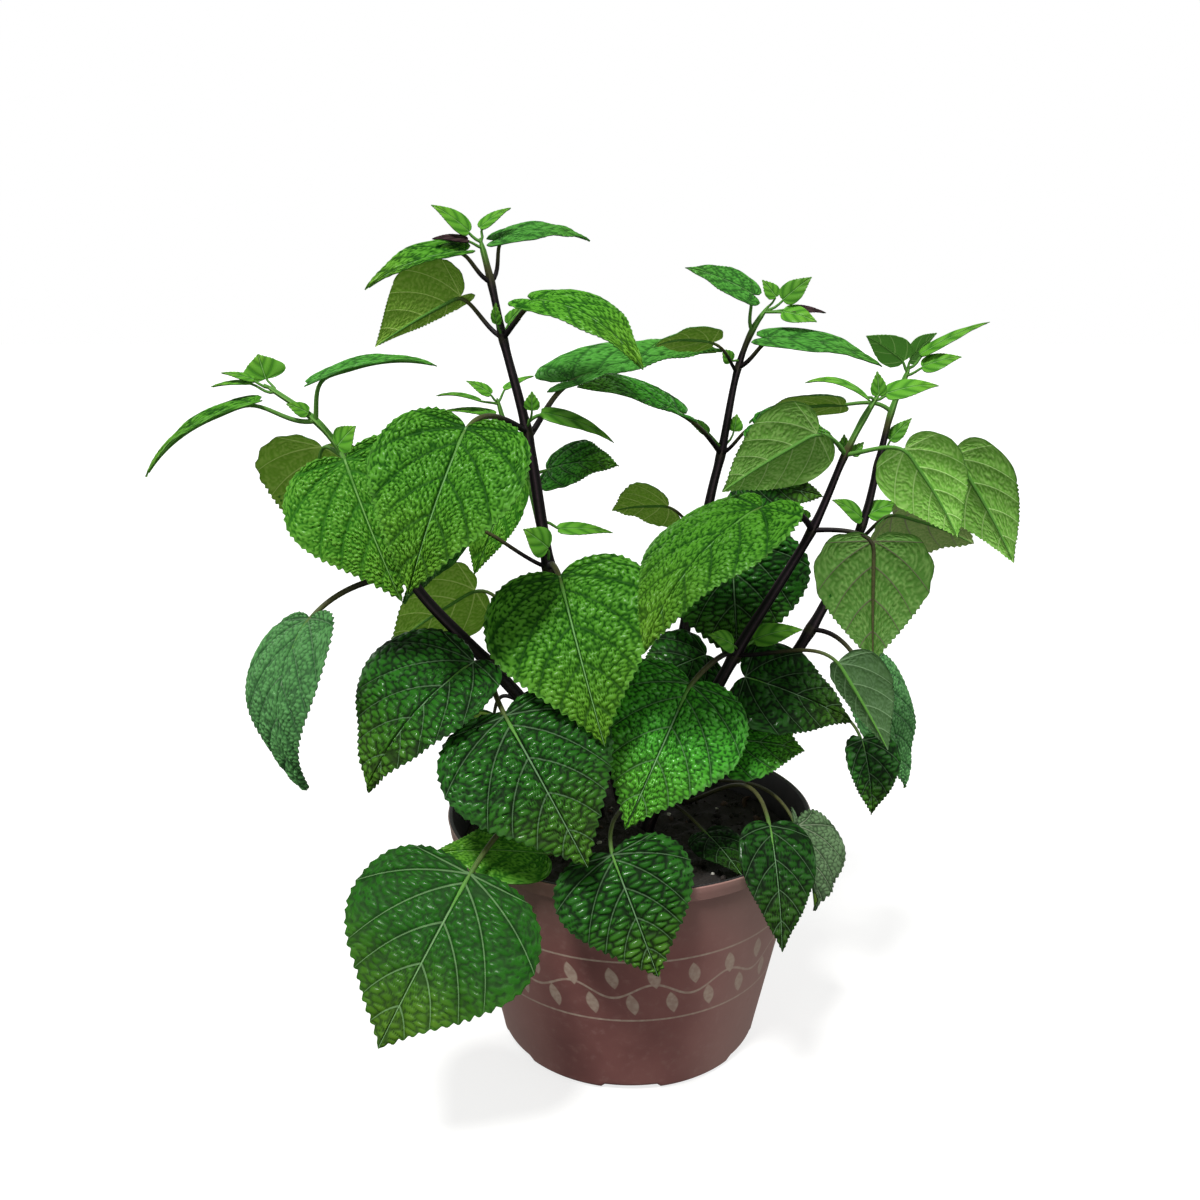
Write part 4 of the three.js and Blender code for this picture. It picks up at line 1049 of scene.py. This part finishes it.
# The pot: thin brown plastic, black inside, with a lip and drain notches under its edge
pot = {
    "height": 127,  # in mm, as are the other lengths
    "rim": 97,
    "base": 70,
    "wall": 1.5,
    "lipHeight": 8,
    "lipProud": 1.6,
    "corner": 4,
    "sides": 224,
    "notches": 6,
    "notchHalf": 15,  # half the width of a notch, in mm
    "notchRise": 1.6,
    "edge": 0.6,  # radius of the lip's rounded edges
    "wobble": 0.0022,  # thin walls are never quite round
    "plastic": ("704541", "8a5c56"),
    "scratches": "a08078",
    # a painted sheen, lighter at the sides as seen from the front and towards the rim
    "sheen": "b4968c",  # at its sides and towards its rim
    "scuffs": "94786f",
    "inside": ("0d0b0d", "2a2424"),
}
vine = {  # the print round the wall, in mm
    "leaves": 26,  # above the vine, and as many below it
    "apart": 19.7,  # from one leaf to the next
    "level": 66,  # above the ground
    "wave": 4,
    "stem": 0.5,  # half its thickness
    "soft": 0.4,  # the edge of the paint
    "away": 8.2,  # from the vine to a leaf's middle
    "half": (3.4, 7.2),  # half a leaf's width and height
    "lean": 1.5,
    "border": 18.5,  # from the vine to the line above it and the one below it
    "line": 0.35,  # half their thickness
    "colour": "b3a08f",
}


def wallRadius(height):
    return pot["base"] + (pot["rim"] - pot["base"]) * height / pot["height"]


def arcPoints(centre, radius, start, end, count):
    angle = np.radians(np.linspace(start, end, count))
    return [(centre[0] + radius * math.cos(a), centre[1] + radius * math.sin(a)) for a in angle]


def potProfile():
    # outside from the middle of the underside up to the rim, then inside down again
    corner = pot["corner"]
    underLip = pot["height"] - pot["lipHeight"]
    edge = pot["edge"]
    top = pot["rim"] + pot["lipProud"] - edge
    outer = [(0, 0), (40, 0), (64, 0)]
    outer += arcPoints((wallRadius(corner) - corner, corner), corner, -90, -5, 8)
    outer += [(wallRadius(h), h) for h in np.linspace(8, underLip - 1.2, 14)]
    outer += arcPoints((wallRadius(underLip) + edge, underLip - 0.5), edge, 180, 90, 4)
    lip = wallRadius(underLip) + pot["lipProud"]
    outer += arcPoints((lip - 0.5, underLip + 0.6), 0.5, -80, 0, 4)
    outer += [(lip - 0.2 + (top - lip) * 0.5, underLip + pot["lipHeight"] * 0.5)]
    rim = pot["rim"] - pot["wall"]
    outer += arcPoints((top - edge, pot["height"] - edge), edge, 0, 90, 4)
    inner = arcPoints((rim + 0.5, pot["height"] - 0.5), 0.5, 90, 180, 4)
    inner += [(wallRadius(h) - pot["wall"], h) for h in np.linspace(underLip, 8, 12)]
    inner += [(wallRadius(corner) - pot["wall"], corner + 0.5)]
    inner += [(pot["base"] - corner, pot["wall"]), (40, pot["wall"]), (0, pot["wall"])]
    return np.array(outer), np.array(inner)


def makePot(finishes):
    outer, inner = potProfile()
    profile = np.concatenate([outer, inner])
    sides = pot["sides"]
    angle = np.arange(sides + 1) / sides * 2 * np.pi - np.pi / 2
    radius, height = profile[:, 0][:, None], profile[:, 1][:, None]
    # the underside's edge lifts a little over each notch
    turn = (angle + np.pi / 2) * pot["notches"] / (2 * np.pi)
    apart = np.abs((turn + 0.5) % 1 - 0.5) * 2 * np.pi / pot["notches"] * pot["base"]
    notch = 1 - ease(apart, pot["notchHalf"] - 1.5, pot["notchHalf"] + 0.5)
    low = ease(radius, 60, 64) * (1 - ease(height, 1.0, 9.0))
    low = low * (np.arange(len(profile))[:, None] < len(outer))
    lifted = height + pot["notchRise"] * notch * low
    lean = 1 + pot["wobble"] * np.sin(2 * angle + 0.6) * ease(height, 20, pot["height"])
    points = np.stack([
        radius * lean * np.cos(angle),
        radius * lean * np.sin(angle),
        lifted + 0 * angle,
    ], -1)
    skin = Skin()
    count = len(profile)
    triangles = gridTriangles(count, sides + 1, True)
    row = triangles.min(1) // (sides + 1)
    inside = row >= len(outer) - 1
    skin.add(points, triangles[~inside], 0)
    skin.add(points, triangles[inside], 1)
    return skin.piece("grown_pot", finishes, sharp=50)


def vinePrint(turn, height):
    # 1 where there is paint: a wavy stem with leaves above and below it by turns, and two lines
    run = turn * (vine["leaves"] / (2 * math.pi))
    level = height / mm - vine["level"]
    soft = vine["soft"]

    def leafPrint(away, shift):
        half, tall = vine["half"]
        up = (level - away) / tall
        aside = ((run + shift).math("FRACT") - 0.5) * vine["apart"]
        return 1 - (abs(aside + up * vine["lean"]) / half + up * up).smooth(0.75, 1.0)

    wave = (run * math.pi).math("SINE") * vine["wave"]
    stem = 1 - (abs(level - wave) - vine["stem"]).smooth(0, soft)
    lines = 1 - (abs(abs(level) - vine["border"]) - vine["line"]).smooth(0, soft)
    leaves = leafPrint(vine["away"], 0) + leafPrint(-vine["away"], 0.5)
    return (stem + leaves + lines).math("MINIMUM", 1)


def potFinish():
    # worn plastic, with a vine printed in a pale band round the wall, and a painted sheen
    r = newMaterial("pot_outside")
    place = r.place()
    x, y, z = [r.node("ShaderNodeSeparateXYZ", {}, {"Vector": place}, i) for i in range(3)]
    turn = x.math("ARCTAN2", y * -1)  # 0 at the front, in radians
    cloud = r.noise(14, 4, 0.6)
    streak = r.noise(220, 3, 0.6)
    colour = r.mix(*map(paint, pot["plastic"]), cloud.smooth(0.25, 0.75))
    colour = r.mix(colour, paint(pot["scratches"]), streak.smooth(0.5, 0.8) * 0.25)
    # painted sheen: lighter and greyer at the sides, as seen from the front, and towards the rim
    sides = abs((turn + 0.1).math("SINE")).smooth(0.3, 0.95) * 0.55
    colour = r.mix(colour, paint(pot["sheen"]), sides + z.smooth(0.08, 0.12) * 0.25)
    worn = vinePrint(turn, z) * (0.62 + r.noise(420, 2).smooth(0.35, 0.65) * 0.3)
    colour = r.mix(colour, paint(vine["colour"]), worn)
    scuff = r.noise(60, 5, 0.7).smooth(0.62, 0.75)
    colour = r.mix(colour, paint(pot["scuffs"]), scuff * 0.25)
    roughness = 0.42 + cloud * 0.12 + scuff * 0.15 - worn * 0.05
    normal = r.relief(streak * 0.4 + cloud, 0.25, 0.5)
    return r.surface(Base_Color=colour, Roughness=roughness, Normal=normal, Specular_IOR_Level=0.5)


def insideFinish():
    r = newMaterial("pot_inside")
    cloud = r.noise(90, 4, 0.6)
    colour = r.mix(*map(paint, pot["inside"]), cloud.smooth(0.45, 0.8))
    normal = r.relief(cloud, 0.2, 0.5)
    return r.surface(Base_Color=colour, Roughness=0.4 + cloud * 0.25, Normal=normal)


piece = makePot([potFinish(), insideFinish()])
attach(piece, "root")
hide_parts("pot")
print("pot made")


# The soil: dark crumbs mounded towards the stems, with chips of bark and grains of perlite
soil = {
    "level": 107,  # mm above the ground at the wall
    "mound": 5,  # how much higher it is in the middle
    "gap": 0.3,  # to the pot
    "clear": 3,  # from the wall to the nearest lumps
    "proud": 0.25,  # how far a lump's middle stands above it, in parts of the lump's size
    "rings": 48,
    "sides": 120,
}
soilKinds = {  # how many, least and greatest size in mm, how flat, colours, roughness, grain
    "crumb": (300, 0.9, 2.6, 0.7, "0c0908", "2a211c", 0.8, 700),
    "bark": (50, 1.5, 4.5, 0.35, "2a1a12", "4a3020", 0.75, 500),
    "perlite": (16, 0.8, 1.9, 0.9, "8a867e", "c9c5bb", 0.8, 900),
}


def soilHeight(x, y):
    # a mound, with crossing waves of several lengths for its coarse and fine crumbs
    outer = wallRadius(soil["level"]) - pot["wall"] - soil["gap"]
    share = np.minimum(np.hypot(x, y) / outer, 1)
    crumb = 1.1 * np.sin(0.21 * x + 1.3) * np.cos(0.17 * y) + 0.8 * np.sin(0.37 * (x - y))
    fine = 0.7 * np.sin(1.1 * x + 2 * np.sin(0.7 * y)) * np.sin(1.3 * y + 2 * np.sin(0.6 * x))
    fine = fine + 0.4 * np.sin(2.7 * x + 1.1 * y) * np.sin(2.2 * y - 1.9 * x)
    return soil["level"] + soil["mound"] * (1 - share ** 2) + (crumb + fine) * (1 - share ** 8)


def lump(random, size):
    # a rough stone-like body
    rings, sides = 3, 7
    theta = np.linspace(0, np.pi, rings + 2)
    phi = np.arange(sides) / sides * 2 * np.pi
    points = np.stack([
        np.sin(theta)[:, None] * np.cos(phi),
        np.sin(theta)[:, None] * np.sin(phi),
        np.cos(theta)[:, None] + 0 * phi,
    ], -1)
    points = points * (0.75 + 0.5 * random.random((rings + 2, sides, 1)))
    points[0] = points[0].mean(0)
    points[-1] = points[-1].mean(0)
    turn = np.linalg.qr(random.normal(size=(3, 3)))[0]
    turn[:, 0] *= np.sign(np.linalg.det(turn))
    return (points * size) @ turn.T, rings + 2, sides


def makeSoil(finishes):
    random = np.random.default_rng(11)
    outer = wallRadius(soil["level"] - 2) - pot["wall"] - soil["gap"]
    rings, sides = soil["rings"], soil["sides"]
    angle = np.arange(sides) / sides * 2 * np.pi
    radius = np.linspace(outer, 0.5, rings)[:, None]
    x, y = radius * np.cos(angle), radius * np.sin(angle)
    top = np.stack([x, y, soilHeight(x, y)], -1)
    corner = pot["corner"]
    sideRings = []
    for height in (pot["wall"] + soil["gap"], corner + 1.2, 40, soil["level"] - 4):
        far = wallRadius(max(height, corner)) - pot["wall"] - soil["gap"]
        far = far - (corner if height < corner else 0)
        ring = [far * np.cos(angle), far * np.sin(angle), height + 0 * angle]
        sideRings.append(np.stack(ring, -1))
    points = np.concatenate([np.array(sideRings), top])
    skin = Skin("tint")
    skin.add(points, ringTriangles(len(points), sides), 0, tint=0.5)
    for finish, (count, small, large, flat, *_) in enumerate(soilKinds.values()):
        for _ in range(count):
            far = (outer - soil["clear"]) * math.sqrt(random.random())
            turn = random.random() * 2 * np.pi
            size = small + (large - small) * random.random() ** 2
            body, n, m = lump(random, size * np.array([1, 0.5 + 0.5 * flat, flat]))
            x, y = far * math.cos(turn), far * math.sin(turn)
            body = body + [x, y, soilHeight(x, y) + size * soil["proud"]]
            skin.add(body, ringTriangles(n, m)[:, ::-1], finish, tint=random.random())
    return skin.piece("grown_soil", finishes, sharp=60)


def soilFinish(name, low, high, roughness, scale):
    r = newMaterial(f"soil_{name}")
    grain, tint = r.noise(scale, 4, 0.65), r.value("tint")
    colour = r.mix(paint(low), paint(high), (grain * 0.7 + tint * 0.3).smooth(0.3, 0.75))
    normal = r.relief(grain, 0.5, 0.8)
    return r.surface(Base_Color=colour, Roughness=roughness + grain * 0.1, Normal=normal)


piece = makeSoil([soilFinish(name, *row[4:]) for name, row in soilKinds.items()])
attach(piece, "root")
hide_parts("soil")
print("soil made")


# A plain pale floor under a soft, bright studio
studio = {
    "floor": ("a0a09e", "9c9c9a"),
    "glow": 0.76,  # how much the pale floor shines by itself, so that shadows on it stay soft
    "floorReach": 12,  # metres
    "floorUnder": 0.0002,  # metres that it lies below the pot, so that the two don't fight
    "haze": 1.0,  # light from the pale band round the horizon
    "sky": 0.26,  # light from higher up
    "ground": 0.12,  # light from below the band
    "above": (0.3, 0.55),  # the height at which the band starts to fade, and where it has faded
    "below": (-0.04, -0.08),
    "key": {"turn": -24, "rise": 62, "spread": 13, "power": 3.8},  # degrees, from the front
    "fill": {"turn": 70, "rise": 30, "spread": 50, "power": 0.35},
}


def makeStudio():
    reach = studio["floorReach"]
    skin = Skin()
    corners = np.array([(-1, -1, 0), (1, -1, 0), (1, 1, 0), (-1, 1, 0)]) * reach / mm
    skin.add(corners, [(0, 1, 2), (0, 2, 3)], 0)
    r = newMaterial("pale_floor")
    colour = r.mix(*map(paint, studio["floor"]), r.noise(3, 2))
    pale = r.surface(
        Base_Color=colour, Roughness=0.9, Specular_IOR_Level=0.0,
        Emission_Color=(1, 1, 1, 1), Emission_Strength=studio["glow"],
    )
    floor = skin.piece("floor", [pale])
    floor.location.z = -studio["floorUnder"]
    floor.visible_diffuse = floor.visible_glossy = False  # no bright light from below
    world = bpy.data.worlds.new("studio")
    bpy.context.scene.world = world
    sky = Recipe(world)
    place = sky.node("ShaderNodeTexCoord", output=0)
    up = sky.node("ShaderNodeSeparateXYZ", {}, {"Vector": place}, 2)
    haze = studio["haze"]
    strength = haze + up.smooth(*studio["above"]) * (studio["sky"] - haze)
    strength = strength - up.smooth(*studio["below"]) * (haze - studio["ground"])
    light = sky.node("ShaderNodeBackground", {}, {"Color": (1, 1, 1, 1), "Strength": strength})
    sky.node("ShaderNodeOutputWorld", {}, {"Surface": light})
    for name in ("key", "fill"):
        lamp = studio[name]
        data = bpy.data.lights.new(name, "SUN")
        data.angle, data.energy = math.radians(lamp["spread"]), lamp["power"]
        made = bpy.data.objects.new(name, data)
        turn, rise = math.radians(lamp["turn"]), math.radians(lamp["rise"])
        made.rotation_euler = (math.pi / 2 - rise, 0, turn)
        bpy.context.scene.collection.objects.link(made)
    bpy.context.scene.view_settings.view_transform = "Standard"


makeStudio()
print("studio lit")
